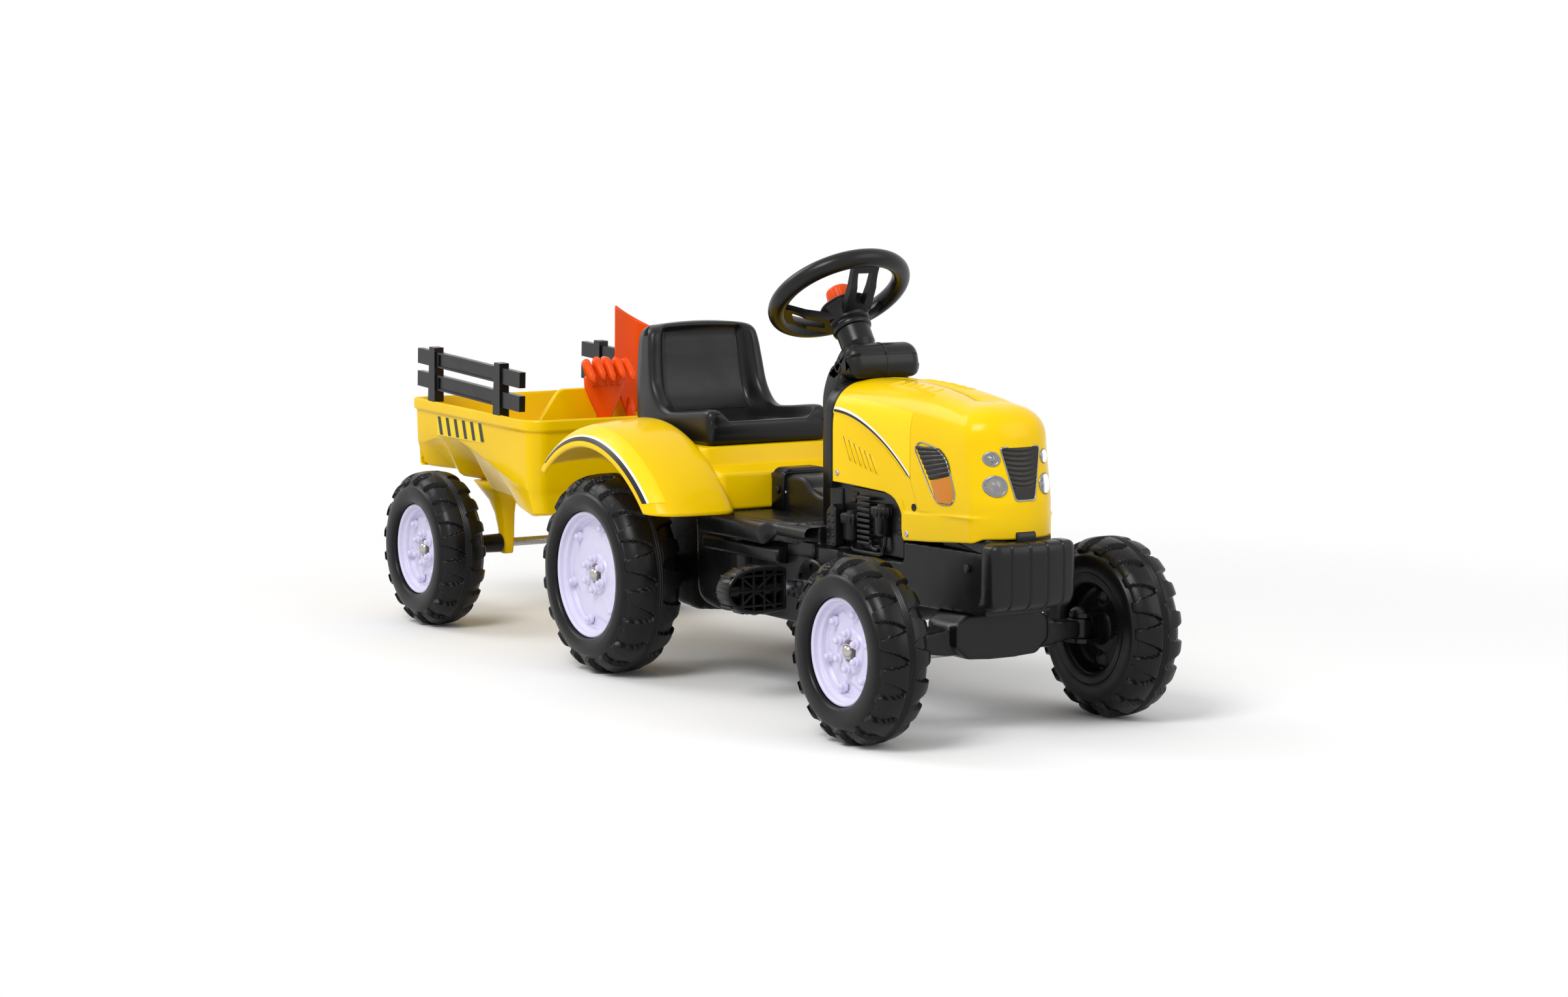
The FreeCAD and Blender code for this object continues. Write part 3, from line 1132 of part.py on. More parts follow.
def trailer():
    """The tipping trailer: tub with sockets for the tools, legs, axle, sleeves, fences and drawbar."""
    body = new_body("trailer_tub")
    tail = "(-trailer_gap - trailer_tail)"
    tub_shares = [
        (0, 0.338), (0.041, 0.426), (0.194, 0.279), (0.549, 0), (0.855, 0, 0.109), (0.932, 0.088),
        (0.997, 0.765), (1, 0.868), (0, 1)]
    side = outline(body, "XZ_Plane", box_points(tub_shares, tail, "tub_length", "tub_low", "tub_height"))
    grow(body, "Pad", side, "2 * tub_half", both=True)
    soften(body, "tub_corner", lambda edge: abs(abs(middle(edge).y) - val("tub_half")) < val("free_gap")
           and middle(edge).x > val(f"{tail} + 0.93 * tub_length")
           and middle(edge).z < val("tub_low + 0.85 * tub_height"))
    load_shares = [
        (0.016, 0.471), (0.205, 0.324), (0.555, 0.044), (0.85, 0.044, 0.109), (0.913, 0.118),
        (0.981, 0.794), (0.997, 1.191), (0.016, 1.191)]
    load = outline(body, "XZ_Plane", box_points(load_shares, tail, "tub_length", "tub_low", "tub_height"))
    grow(body, "Pocket", load, "2 * (tub_half - tub_wall)", both=True)
    lip_end = f"({tail} + tub_length * 0.93)"
    lip_top = "(tub_low + tub_height - tub_length * 0.93 * tan(fence_fall))"
    for sign in ("1", "-1"):
        lip = outline(body, "XZ_Plane", [
            (tail, "tub_low + tub_height * 0.94"), (lip_end, f"{lip_top} - tub_height * 0.06"),
                (lip_end, lip_top), (tail, "tub_low + tub_height")], f"-{sign} * tub_half")
        grow(body, "Pad", lip, "rim_lip", flip=sign == "1")
        panel = outline(body, "XZ_Plane", [
            (f"{tail} + tub_length * 0.05", "tub_low + tub_height * 0.52"),
                (f"{tail} + tub_length * 0.16", "tub_low + tub_height * 0.52"),
            (f"{tail} + tub_length * 0.24", "tub_low + tub_height * 0.66", "-tub_length * 0.26"),
            (f"{tail} + tub_length * 0.58", "tub_low + tub_height * 0.6"),
                (f"{tail} + tub_length * 0.7", "tub_low + tub_height * 0.32"),
            (f"{tail} + tub_length * 0.86", "tub_low + tub_height * 0.32"),
                (f"{tail} + tub_length * 0.9", "tub_low + tub_height * 0.78"),
            (f"{tail} + tub_length * 0.05", "tub_low + tub_height * 0.88")], f"-{sign} * tub_half")
        grow(body, "Pocket", panel, "tub_wall * 0.4", flip=sign == "1")
        leg = outline(body, "XZ_Plane", [
            ("-trailer_gap - 2.4 * strut_thickness", "tub_low + tub_height * 0.17"),
                ("-trailer_gap - 0.9 * strut_thickness", "front_radius - strut_thickness * 0.2",
                                                                                   "strut_thickness * 0.92"),
            ("-trailer_gap + 0.9 * strut_thickness", "front_radius - strut_thickness * 0.2"),
                ("-trailer_gap + 2.4 * strut_thickness", "tub_low + tub_height * 0.03"),
            ("-trailer_gap + 1.4 * strut_thickness", "tub_low + tub_height * 0.14"),
                ("-trailer_gap - 2 * strut_thickness", "tub_low + tub_height * 0.24")],
            f"-{sign} * (strut_half + strut_thickness / 2)")
        grow(body, "Pad", leg, "strut_thickness", both=True)
    tab = outline(body, "YZ_Plane", [
        ("-tab_half", "tub_low + tub_height * 0.8"), ("tab_half", "tub_low + tub_height * 0.8"),
            ("tab_half * 0.8", "tab_top"),
        ("-tab_half * 0.8", "tab_top")], f"{tail} + tub_length - 3 * tub_wall")
    grow(body, "Pad", tab, "2 * tub_wall")
    for x, y in tool_spots().values():
        socket = rounds(body, "XY_Plane", [(x, y, "tool_radius * 1.7")], "tub_low + tub_wall")
        grow(body, "Pad", socket, "tub_height * 0.66")
        bore = rounds(body, "XY_Plane", [(x, y, "tool_radius + running_fit")], "tool_low - free_gap")
        grow(body, "Pocket", bore, "tub_height", flip=True)
    bore = rounds(body, "XZ_Plane", [("-trailer_gap", "front_radius", "axle_radius + running_fit")])
    grow(body, "Pocket", bore, "2 * tub_half", both=True)
    locate(body)
    axle = new_body("trailer_axle")
    tip = "(half_width - rim_inset - rim_depth + boss_rise + washer_thickness + nut_height)"
    grow(axle, "Pad", rounds(axle, "XZ_Plane", [("0", "0", "axle_radius")]), f"2 * {tip}", both=True)
    locate(axle, "-trailer_gap", "0", "front_radius")
    sleeves = new_body("trailer_sleeve_master", node=False)
    inner, outer = "(strut_half + strut_thickness)", "(kingpin_y + yoke_reach + yoke_thickness)"
    tube = outline(sleeves, "YZ_Plane", [
        (inner, "axle_radius + running_fit"), (inner, "axle_radius * 2.2"), (outer, "axle_radius * 1.8"),
            (outer, "axle_radius + running_fit")])
    turn(sleeves, "Revolution", tube, "Y_Axis")
    pair_of(sleeves, "trailer_sleeves", "-trailer_gap", "0", "front_radius")
    for side, sign in (("left", "1"), ("right", "-1")):
        fence(side, sign)
    bar = new_body("drawbar")
    bar_shares = [
        (0, 0), (0.182, 0), (0.848, 0.3), (1, 0.3, 0.099), (1, 0.7), (0.848, 0.7), (0.182, 1), (0, 1)]
    plan = outline(bar, "XY_Plane", box_points(bar_shares, "hitch_x - drawbar_length", "drawbar_length",
            "-drawbar_half", "2 * drawbar_half"),
                   "hitch_z + hitch_thickness")
    grow(bar, "Pad", plan, "tub_low - hitch_z - hitch_thickness")
    hole = rounds(bar, "XY_Plane", [("hitch_x", "0", "hitch_pin + running_fit")])
    grow(bar, "Pocket", hole, "2 * tub_low", flip=True)
    locate(bar)
    bracket = new_body("hitch_bracket")
    tow_shares = [(0, 0.133), (0.239, 0.133), (1, 0), (1, 1), (0.239, 0.867), (0, 0.867, 0.246)]
    plate = outline(bracket, "XY_Plane", box_points(tow_shares, "gearbox_x - bracket_length",
            "bracket_length", "-bracket_half", "2 * bracket_half"), "hitch_z")
    grow(bracket, "Pad", plate, "hitch_thickness")
    hole = rounds(bracket, "XY_Plane", [("hitch_x", "0", "hitch_pin + running_fit")])
    grow(bracket, "Pocket", hole, "2 * tub_low", flip=True)
    locate(bracket)
    pin = new_body("hitch_pin")
    low, top = "(hitch_z - 2 * hitch_pin)", "(tub_low + free_gap)"
    shape = outline(pin, "XZ_Plane", [
        ("0", low), ("hitch_pin", low), ("hitch_pin", top), ("hitch_pin * 2", top),
            ("hitch_pin * 2", f"{top} + hitch_pin", "hitch_pin * 3"),
        ("hitch_pin * 0.4", f"{top} + hitch_pin * 1.5"), ("0", f"{top} + hitch_pin * 1.5")])
    turn(pin, "Revolution", shape, "Z_Axis")
    locate(pin, "hitch_x")


plank_shares = [(0.22, 0.5), (0.64, 0.92)]
panel_shares = [(0.21, 0.74)]
post_shares = [0.16, 0.8]


def fence(side, sign):
    """A side fence: two planks on two tapering posts, following the fall of the tub rim."""
    body = new_body(f"fence_{side}")
    high, thick = "fence_height", "fence_thickness"
    for low, top in plank_shares:
        plank = outline(body, "XZ_Plane", [("0", f"{high} * {low}"), ("fence_length", f"{high} * {low}"),
                                           ("fence_length", f"{high} * {top}"), ("0", f"{high} * {top}")])
        grow(body, "Pad", plank, thick, both=True)
        for start, end in panel_shares:
            inset = "fence_thickness * 0.3"
            panel = outline(body, "XZ_Plane", [
                (f"fence_length * {start}", f"{high} * {low} + {inset}"),
                    (f"fence_length * {end}", f"{high} * {low} + {inset}"),
                (f"fence_length * {end}", f"{high} * {top} - {inset}"),
                    (f"fence_length * {start}", f"{high} * {top} - {inset}")],
                f"-{sign} * {thick} / 2")
            grow(body, "Pocket", panel, f"{thick} * 0.25", flip=sign == "1")
    for share in post_shares:
        post = outline(body, "XZ_Plane", [
            (f"fence_length * ({share} - 0.034)", "0"), (f"fence_length * ({share} + 0.034)", "0"),
            (f"fence_length * ({share} + 0.026)", high), (f"fence_length * ({share} - 0.026)", high)])
        grow(body, "Pad", post, f"{thick} * 1.6", both=True)
    z = "tub_low + tub_height - (fence_x + trailer_gap + trailer_tail) * tan(fence_fall) + running_fit"
    locate(body, "fence_x", f"{sign} * tub_half", z, axis=Vector(0, 1, 0), angle=val("fence_fall"))


def tool_spots():
    """Where the sockets of the two tools stand in the tub."""
    return {"rake": ("tool_x", "-tool_y"), "shovel": ("tool_x - shovel_back", "tool_y + shovel_side")}


def tools():
    """A rake and a shovel that stand heads up in the tub's sockets and lift out."""
    for name in tool_spots():
        body = new_body(name)
        neck = "(tub_low + tub_height)"
        stem = outline(body, "XZ_Plane", [("0", "tool_low"), ("tool_radius", "tool_low"),
                ("tool_radius", neck),
                                          ("tool_radius * 0.8", f"{neck} + 2 * tool_radius"),
                ("0", f"{neck} + 2 * tool_radius")])
        turn(body, "Revolution", stem, "Z_Axis")
        if name == "rake":
            palm = outline(body, "YZ_Plane", [
                ("-tool_radius", neck), ("tool_radius", neck),
                    ("rake_half * 0.6", f"{neck} + 4 * tool_radius"),
                ("rake_half", "rake_top - 2 * tool_radius"), ("rake_half", "rake_top"),
                    ("-rake_half", "rake_top"),
                ("-rake_half", "rake_top - 2 * tool_radius"),
                    ("-rake_half * 0.6", f"{neck} + 4 * tool_radius")])
            grow(body, "Pad", palm, "tool_radius", both=True)
            for share in (-0.84, -0.42, 0, 0.42, 0.84):
                finger = outline(body, "XZ_Plane", [
                    ("0", f"{neck} + 6 * tool_radius"), ("tool_radius", "rake_top - 2 * tool_radius"),
                    ("4.2 * tool_radius", "rake_top - 2.4 * tool_radius"),
                        ("4.4 * tool_radius", "rake_top - 1.5 * tool_radius"),
                    ("2 * tool_radius", "rake_top"), ("0", "rake_top"),
                        ("-tool_radius", "rake_top - 2 * tool_radius")],
                    f"-(rake_half * {share})")
                grow(body, "Pad", finger, "rake_half * 0.3", both=True)
        else:
            blade = outline(body, "YZ_Plane", [
                ("-tool_radius", neck), ("tool_radius", neck),
                    ("shovel_half * 0.8", f"{neck} + 4 * tool_radius"),
                ("shovel_half", "shovel_top - tool_radius"), ("-shovel_half", "shovel_top"),
                ("-shovel_half * 0.8", f"{neck} + 4 * tool_radius")])
            grow(body, "Pad", blade, "tool_radius", both=True)
            scoop = rounds(body, "XY_Plane", [("shovel_half * 1.9", "0", "shovel_half * 2")],
                    f"{neck} + 3 * tool_radius")
            grow(body, "Pocket", scoop, "shovel_top", flip=True)
        locate(body, *tool_spots()[name])


def pair_of(source, label, x, half, z):
    """Two like pieces, left and right, in one node."""
    sides = []
    for sign, angle in (("1", 0.0), ("-1", 180.0)):
        item = doc.addObject("Part::Compound", f"{label}_side")
        item.Links = [source]
        locate(item, x, f"{sign} * ({half})", z, angle=angle)
        sides.append(item)
    group = doc.addObject("Part::Compound", label)
    group.Label = label
    group.Links = sides
    nodes.append(group)


def group_of(label, placed):
    """Like pieces in one node, each given as its source and a function that places it."""
    members = []
    for source, place in placed:
        item = doc.addObject("Part::Compound", f"{label}_member")
        item.Links = [source]
        place(item)
        members.append(item)
    group = doc.addObject("Part::Compound", label)
    group.Label = label
    group.Links = members
    nodes.append(group)


def front_details():
    """Grille and lamp lenses on the leaning face of the bonnet."""
    grille = new_body("grille")
    plate = outline(grille, "YZ_Plane", grille_outline("0"))
    grow(grille, "Pad", plate, "2 * lamp_recess")
    for i in range(6):
        low = f"(grille_rise + grille_height * {0.12 + i * 0.14:.2f})"
        reach = f"grille_half * {0.36 + i * 0.09:.2f}"
        slot = outline(grille, "YZ_Plane",
                [(f"-{reach}", low), (reach, low), (reach, f"{low} + grille_height * 0.07"),
                                            (f"-{reach}", f"{low} + grille_height * 0.07")],
                "lamp_recess")
        grow(grille, "Pocket", slot, "lamp_recess * 3", flip=True)
    on_face(grille, "0", "0", "2 * lamp_recess")
    lenses = {}
    for radius in ("lower_lamp_radius", "upper_lamp_radius"):
        lens = new_body(f"{radius}_lens", node=False)
        shape = outline(lens, "XZ_Plane", [
            ("0", "0"), ("3.2 * lamp_recess", "0", f"{radius} * 2"), ("2.4 * lamp_recess", radius),
                ("0", radius)])
        turn(lens, "Revolution", shape, "X_Axis")
        lenses[radius] = lens
    group_of("headlamps", [(lenses[radius], lambda item, y=y, rise=rise: on_face(item, y, rise,
            "3 * lamp_recess"))
                           for y, rise, radius in face_spots()])


def side_details():
    """Lamp panels with amber lenses on the bonnet sides, engine relief under it, screws and bolts."""
    slope = "atan((bonnet_half - bonnet_nose_half) / (bonnet_length - bonnet_corner_round))"
    core_slope = "atan((core_half - bonnet_nose_half + nose_half * 0.26) / nose_length)"
    panel_shares = [
        (0, 0.882), (0.092, 0.993), (0.553, 0.926), (0.763, 0.765), (0.868, 0.529), (0.382, 0.39)]
    amber_shares = [
        (0.388, 0.378), (0.876, 0.515), (0.987, 0.206), (0.895, 0.029), (0.592, 0.007), (0.487, 0.088)]
    low = "(bonnet_low + bonnet_height * 0.29)"
    for label, shares, thick in (("lamp_panels", panel_shares, "lamp_recess"),
            ("indicator_lenses", amber_shares, "lamp_recess * 1.4")):
        plate = new_body(f"{label}_master", node=False)
        shape = outline(plate, "XZ_Plane", box_points(shares, "(bonnet_length * 0.551)",
                "(bonnet_length * 0.249)", low,
                                                      "(bonnet_height * 0.38)"))
        grow(plate, "Pad", shape, thick)
        mirror = doc.addObject("Part::Mirroring", f"{label}_mirror")
        mirror.Source = plate
        mirror.Normal = Vector(0, 1, 0)
        group_of(label, [
            (plate, lambda item: locate(item, "bonnet_x", "-bonnet_half", angle=val(slope))),
            (mirror, lambda item: locate(item, "bonnet_x", "bonnet_half", angle=-val(slope)))])
    relief = engine_relief()
    mirror = doc.addObject("Part::Mirroring", "engine_mirror")
    mirror.Source = relief
    mirror.Normal = Vector(0, 1, 0)
    start = "(tower_x + tower_thickness)"
    flare = f"(nose_x - {start}) * (nose_half - bonnet_nose_half) / nose_length"
    rear_half = f"(core_half + {flare})"
    drawn_in = f"(core_half - bonnet_nose_half + (nose_half - core_half) * 0.6 + {flare})"
    lean = f"atan({drawn_in} / (nose_x + nose_length - nose_half + core_half - {start}))"
    group_of("engine_relief", [
        (relief, lambda item: locate(item, start, f"-{rear_half}", angle=val(lean))),
        (mirror, lambda item: locate(item, start, rear_half, angle=-val(lean)))])
    head = screw("screw_radius")
    side_spots = [("bonnet_length * 0.06", "bonnet_low + bonnet_height * 0.39"),
            ("bonnet_length * 0.55", "bonnet_low + bonnet_height * 0.08")]
    placed = []
    for u, z in side_spots:
        for sign, turn_by in (("-1", 180 + val(slope)), ("1", -val(slope))):
            placed.append((head, lambda item, u=u, z=z, sign=sign, turn_by=turn_by: locate(
                item, f"bonnet_x + {u} * cos({slope})", f"{sign} * (bonnet_half - {u} * sin({slope}))", z,
                    angle=turn_by)))
    group_of("bonnet_screws", placed)
    group_of("tunnel_bolts", [
        (head, lambda item: locate(item, "floor_x + tunnel_length * 0.3", "tunnel_half",
            "nose_top + tunnel_height * 0.55")),
        (head, lambda item: locate(item, "floor_x + tunnel_length * 0.3", "-tunnel_half",
            "nose_top + tunnel_height * 0.55", angle=180.0))])


def engine_relief():
    """The engine side in relief: a plate with two ribbed filters, a finned column and a pipe."""
    body = new_body("engine_relief_master", node=False)
    low, high = "(frame_low + frame_height)", "(bonnet_low + bonnet_height * 0.3)"
    depth = "bonnet_wall"
    plate = outline(body, "XZ_Plane", [("0", low), ("nose_length * 0.44", low), ("nose_length * 0.47",
            high), ("0", high)])
    grow(body, "Pad", plate, depth)
    for share in (0.09, 0.2):
        for width, start, rise in ((0.042, f"{low} + bonnet_wall", "core_half * 0.8"),
                (0.05, f"{low} + core_half * 0.84", "bonnet_wall * 2")):
            can = outline(body, "XY_Plane", [
                (f"nose_length * {share - width:.3f}", "0"),
                    (f"nose_length * {share + width:.3f}", "0", f"-nose_length * {width * 1.02:.4f}")],
                start)
            grow(body, "Pad", can, rise)
    for i in range(6):
        fin = f"({low} + bonnet_wall * {2 + i * 2.6:.1f})"
        rib = outline(body, "XZ_Plane", [("nose_length * 0.28", fin), ("nose_length * 0.38", fin),
                ("nose_length * 0.38", f"{fin} + bonnet_wall * 1.2"),
                                         ("nose_length * 0.28", f"{fin} + bonnet_wall * 1.2")])
        grow(body, "Pad", rib, "bonnet_wall * 3")
    return body


def screw(radius):
    """A pan-head screw with a cross recess, its seat at the local origin and its axis along y."""
    body = new_body("screw_master", node=False)
    head = outline(body, "YZ_Plane", [("0", "0"), ("0", radius), (f"{radius} * 0.3", radius,
            f"{radius} * 1.6"), (f"{radius} * 0.7", f"{radius} * 0.2"), (f"{radius} * 0.7", "0")])
    turn(body, "Revolution", head, "Y_Axis")
    return body


def export():
    """Check every object and write each node to its own file."""
    doc.recompute()
    for item in doc.Objects:
        if "Invalid" in item.State or "Error" in item.State:
            raise RuntimeError(f"{item.Label} did not build: {item.State}")
    os.makedirs("parts", exist_ok=True)
    for item in nodes:
        if item.Shape.isNull() or not item.Shape.isValid() or not item.Shape.Solids:
            raise RuntimeError(f"{item.Label} has no sound shape")
        item.Shape.exportStep(f"parts/{item.Label}.step")


wheels()
chassis()
bonnet()
front_bumper()
dash_cowl()
rear_body()
seat()
axle_beam()
knuckle("left", "1")
knuckle("right", "-1")
kingpins()
tie_rod()
steering()
cranks()
sprockets_and_chain()
trailer()
tools()
front_details()
side_details()
export()
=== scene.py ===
import json
import math
import bpy
from bpy.props import FloatProperty, FloatVectorProperty, IntProperty, PointerProperty, StringProperty
from mathutils import Matrix, Vector


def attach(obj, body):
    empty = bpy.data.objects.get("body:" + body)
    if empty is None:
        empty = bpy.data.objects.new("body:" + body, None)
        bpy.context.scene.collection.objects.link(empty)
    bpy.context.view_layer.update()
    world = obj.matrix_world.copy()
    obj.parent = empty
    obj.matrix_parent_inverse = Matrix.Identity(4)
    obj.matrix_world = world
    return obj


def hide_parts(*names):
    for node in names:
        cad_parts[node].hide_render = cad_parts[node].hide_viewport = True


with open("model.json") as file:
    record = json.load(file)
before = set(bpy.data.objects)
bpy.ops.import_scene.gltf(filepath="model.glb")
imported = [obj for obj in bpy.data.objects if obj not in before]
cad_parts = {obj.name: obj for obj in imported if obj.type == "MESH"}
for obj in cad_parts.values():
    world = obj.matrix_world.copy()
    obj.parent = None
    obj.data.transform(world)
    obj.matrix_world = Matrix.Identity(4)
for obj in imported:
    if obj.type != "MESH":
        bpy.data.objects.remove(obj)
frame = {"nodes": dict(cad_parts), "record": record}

bl_info = {
    "name": "Pedal tractor",
    "version": (1, 0, 0),
    "blender": (4, 5, 0),
    "location": "View3D > Sidebar > Tractor",
    "description": "Builds the visible surfaces of a child's pedal tractor with trailer on its CAD frame",
    "category": "Object",
}

MM = 0.001
# the rear axle, from which the lengths below are measured, in the frame's own x
REAR_AXLE_X = -32.0
# the way along y and the name of each side of the toy
SIDES = ((-1, "right"), (1, "left"))


def place(x, y, z):
    """A point in millimetres from the rear axle, with z from the ground, as metres in the frame."""
    return Vector(((x + REAR_AXLE_X) * MM, y * MM, z * MM))


def step(low, high, value):
    """Smooth ramp from 0 at low to 1 at high."""
    share = min(max((value - low) / (high - low), 0.0), 1.0)
    return share * share * (3 - 2 * share)


def between(table, value):
    """Straight interpolation in a table of (value, result) pairs."""
    for (a, low), (b, high) in zip(table, table[1:]):
        if value <= b:
            return low + (high - low) * max(0.0, (value - a) / (b - a))
    return table[-1][1]


def smooth_line(points, count):
    """Evenly spaced points on a smooth curve through the given points."""
    ends = [tuple(2 * a - b for a, b in zip(points[0], points[1]))] + list(points)
    ends.append(tuple(2 * a - b for a, b in zip(points[-1], points[-2])))
    fine = []
    for p, a, b, q in zip(ends, ends[1:], ends[2:], ends[3:]):
        for i in range(12):
            t = i / 12
            fine.append(tuple(0.5 * (2 * b0 + (c0 - a0) * t + (2 * a0 - 5 * b0 + 4 * c0 - d0) * t * t
                                     + (3 * b0 - a0 - 3 * c0 + d0) * t ** 3)
                              for a0, b0, c0, d0 in zip(p, a, b, q)))
    fine.append(tuple(points[-1]))
    lengths = [0.0]
    for a, b in zip(fine, fine[1:]):
        lengths.append(lengths[-1] + math.dist(a, b))
    line = []
    for i in range(count):
        goal = lengths[-1] * i / (count - 1)
        k = max(j for j in range(len(fine)) if lengths[j] <= goal + 1e-9)
        k = min(k, len(fine) - 2)
        t = (goal - lengths[k]) / max(lengths[k + 1] - lengths[k], 1e-9)
        line.append(tuple(a + (b - a) * t for a, b in zip(fine[k], fine[k + 1])))
    return line


def circle(count):
    """Evenly spaced angles round a full turn."""
    return [2 * math.pi * k / count for k in range(count)]


def spread(low, high, count):
    """Evenly spaced values from low to high."""
    return [low + (high - low) * i / (count - 1) for i in range(count)]


def squared(value, power):
    """A sine or cosine pressed towards the sides of a square."""
    return math.copysign(abs(value) ** power, value)


def span(sign, low, high):
    """The ends of a stretch on one side of the toy, the smaller one first."""
    return sorted((sign * low, sign * high))


def on_axis(axis, along, a, b):
    """A point that lies along an axis, with a and b across it."""
    return {"X": (along, a, b), "Y": (a, along, b), "Z": (a, b, along)}[axis]


def new_piece(name, points, faces):
    """A smooth-shaded mesh object in the scene."""
    mesh = bpy.data.meshes.new(name)
    mesh.from_pydata(points, [], faces)
    mesh.validate()
    mesh.update()
    mesh.shade_smooth()
    item = bpy.data.objects.new(name, mesh)
    bpy.context.scene.collection.objects.link(item)
    return item


def facing(item, flip):
    """Turn a mesh inside out where its rows run the other way."""
    if flip:
        item.data.flip_normals()
    return item


def sheet_of(name, rows, closed_rows=False, closed_columns=False, caps=False, ends=False):
    """A mesh over a grid of points; caps close its first and last row, ends its first and last column."""
    wide, tall = len(rows[0]), len(rows)
    faces = []
    for r in range(tall if closed_columns else tall - 1):
        for c in range(wide if closed_rows else wide - 1):
            a, b = r * wide, ((r + 1) % tall) * wide
            faces.append((a + c, a + (c + 1) % wide, b + (c + 1) % wide, b + c))
    if caps:
        faces.append(tuple(reversed(range(wide))))
        faces.append(tuple(range((tall - 1) * wide, tall * wide)))
    if ends:
        faces.append(tuple(r * wide for r in range(tall)))
        faces.append(tuple(r * wide + wide - 1 for r in reversed(range(tall))))
    return new_piece(name, [p for row in rows for p in row], faces)


def turned(name, profile, count, centre, axis="Y", bulge=None):
    """A mesh turned about an axis through centre from (along, radius) points, with an optional relief."""
    rows = []
    for angle in circle(count):
        row = []
        for k, (along, radius) in enumerate(profile):
            if bulge:
                along, radius = bulge(k, angle, along, radius)
            row.append(Vector(on_axis(axis, along, radius * math.sin(angle), radius * math.cos(angle))) * MM)
        rows.append(row)
    item = sheet_of(name, rows, closed_columns=True)
    item.location = centre
    return item


def dress(item, body, finish, *nodes):
    """Give a piece its finish and body, and the CAD nodes it stands for."""
    item.data.materials.clear()
    item.data.materials.append(MATERIALS[finish])
    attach(item, body)
    if nodes:
        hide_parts(*nodes)
    return item


def rounded(node, voxel, passes):
    """Round the edges of a CAD piece as blow moulding does, by modifiers on its own mesh."""
    item = frame["nodes"][node]
    remesh = item.modifiers.new("skin", "REMESH")
    remesh.mode = "VOXEL"
    remesh.voxel_size = voxel * MM
    remesh.use_smooth_shade = True
    ease = item.modifiers.new("ease", "SMOOTH")
    ease.factor, ease.iterations = 0.5, passes


def corners(points, parts=6):
    """A closed outline from (a, b) or (a, b, radius) points, with each corner that has a radius rounded."""
    line = []
    count = len(points)
    for i, point in enumerate(points):
        here = Vector(point[:2])
        reach = point[2] if len(point) > 2 else 0.0
        if not reach:
            line.append(tuple(here))
            continue
        before, after = Vector(points[i - 1][:2]) - here, Vector(points[(i + 1) % count][:2]) - here
        start = here + before.normalized() * min(reach, 0.5 * before.length)
        end = here + after.normalized() * min(reach, 0.5 * after.length)
        for k in range(parts + 1):
            t = k / parts
            line.append(tuple((1 - t) ** 2 * start + 2 * t * (1 - t) * here + t * t * end))
    return line


def walled(item, thickness, offset=-1.0):
    """Give a sheet the wall thickness of the moulding in millimetres."""
    wall = item.modifiers.new("wall", "SOLIDIFY")
    wall.thickness, wall.offset = thickness * MM, offset
    return item


def inward(outline):
    """The direction into a closed outline at each of its points, and 1 or -1 for the way it runs round."""
    count = len(outline)
    area = sum(outline[i - 1][0] * outline[i][1] - outline[i][0] * outline[i - 1][1] for i in range(count))
    turn = 1 if area > 0 else -1
    ways = []
    for i in range(count):
        along = Vector(outline[(i + 1) % count]) - Vector(outline[i - 1])
        ways.append(Vector((-along.y, along.x)).normalized() * turn)
    return ways, turn


def inset(outline, amount):
    """A closed outline moved inwards."""
    return [tuple(Vector(point) + way * amount) for point, way in zip(outline, inward(outline)[0])]


def pressed(name, outline, low, high, edge, axis="Y", parts=5):
    """A closed outline drawn out along an axis, with both ends rounded by the edge radius."""
    ways, turn = inward(outline)
    arcs = [math.radians(90 * k / parts) for k in range(parts + 1)]
    places = [(low + edge * (1 - math.sin(a)), edge * (1 - math.cos(a))) for a in reversed(arcs)]
    places += [(high - edge * (1 - math.sin(a)), edge * (1 - math.cos(a))) for a in arcs]
    rows = []
    for along, amount in places:
        spots = [Vector(point) + way * amount for point, way in zip(outline, ways)]
        rows.append([place(*on_axis(axis, along, *spot)) for spot in spots])
    item = sheet_of(name, rows, closed_rows=True, caps=True)
    return facing(item, (turn > 0) != (axis != "Y"))


def joined(name, items):
    """One object from several meshes of the same finish."""
    points, faces = [], []
    for item in items:
        start = len(points)
        points += [item.matrix_basis @ v.co for v in item.data.vertices]
        faces += [tuple(start + i for i in face.vertices) for face in item.data.polygons]
        bpy.data.objects.remove(item)
    return new_piece(name, points, faces)


def crisp(item, angle=35.0):
    """Shade flat across edges sharper than an angle, so pressed ends and steps read as edges."""
    item.data.set_sharp_from_angle(angle=math.radians(angle))
    return item


def tube(name, points, radius, count=12):
    """A round bar along a line of points in millimetres, with one radius or one for each point."""
    rows = []
    for i, point in enumerate(points):
        ahead = Vector(points[min(i + 1, len(points) - 1)]) - Vector(points[max(i - 1, 0)])
        ahead.normalize()
        side = ahead.cross(Vector((0, 0, 1)) if abs(ahead.z) < 0.9 else Vector((0, 1, 0))).normalized()
        up = side.cross(ahead)
        thick = radius[i] if isinstance(radius, (list, tuple)) else radius
        rows.append([place(*(Vector(point) + thick * (side * math.cos(a) + up * math.sin(a))))
                     for a in circle(count)])
    return sheet_of(name, rows, closed_rows=True, caps=True)


def linear(text):
    """A colour written as sRGB hex, as the linear value shaders take."""
    parts = [int(text[i:i + 2], 16) / 255 for i in (1, 3, 5)]
    return tuple(c / 12.92 if c <= 0.04045 else ((c + 0.055) / 1.055) ** 2.4 for c in parts) + (1.0,)


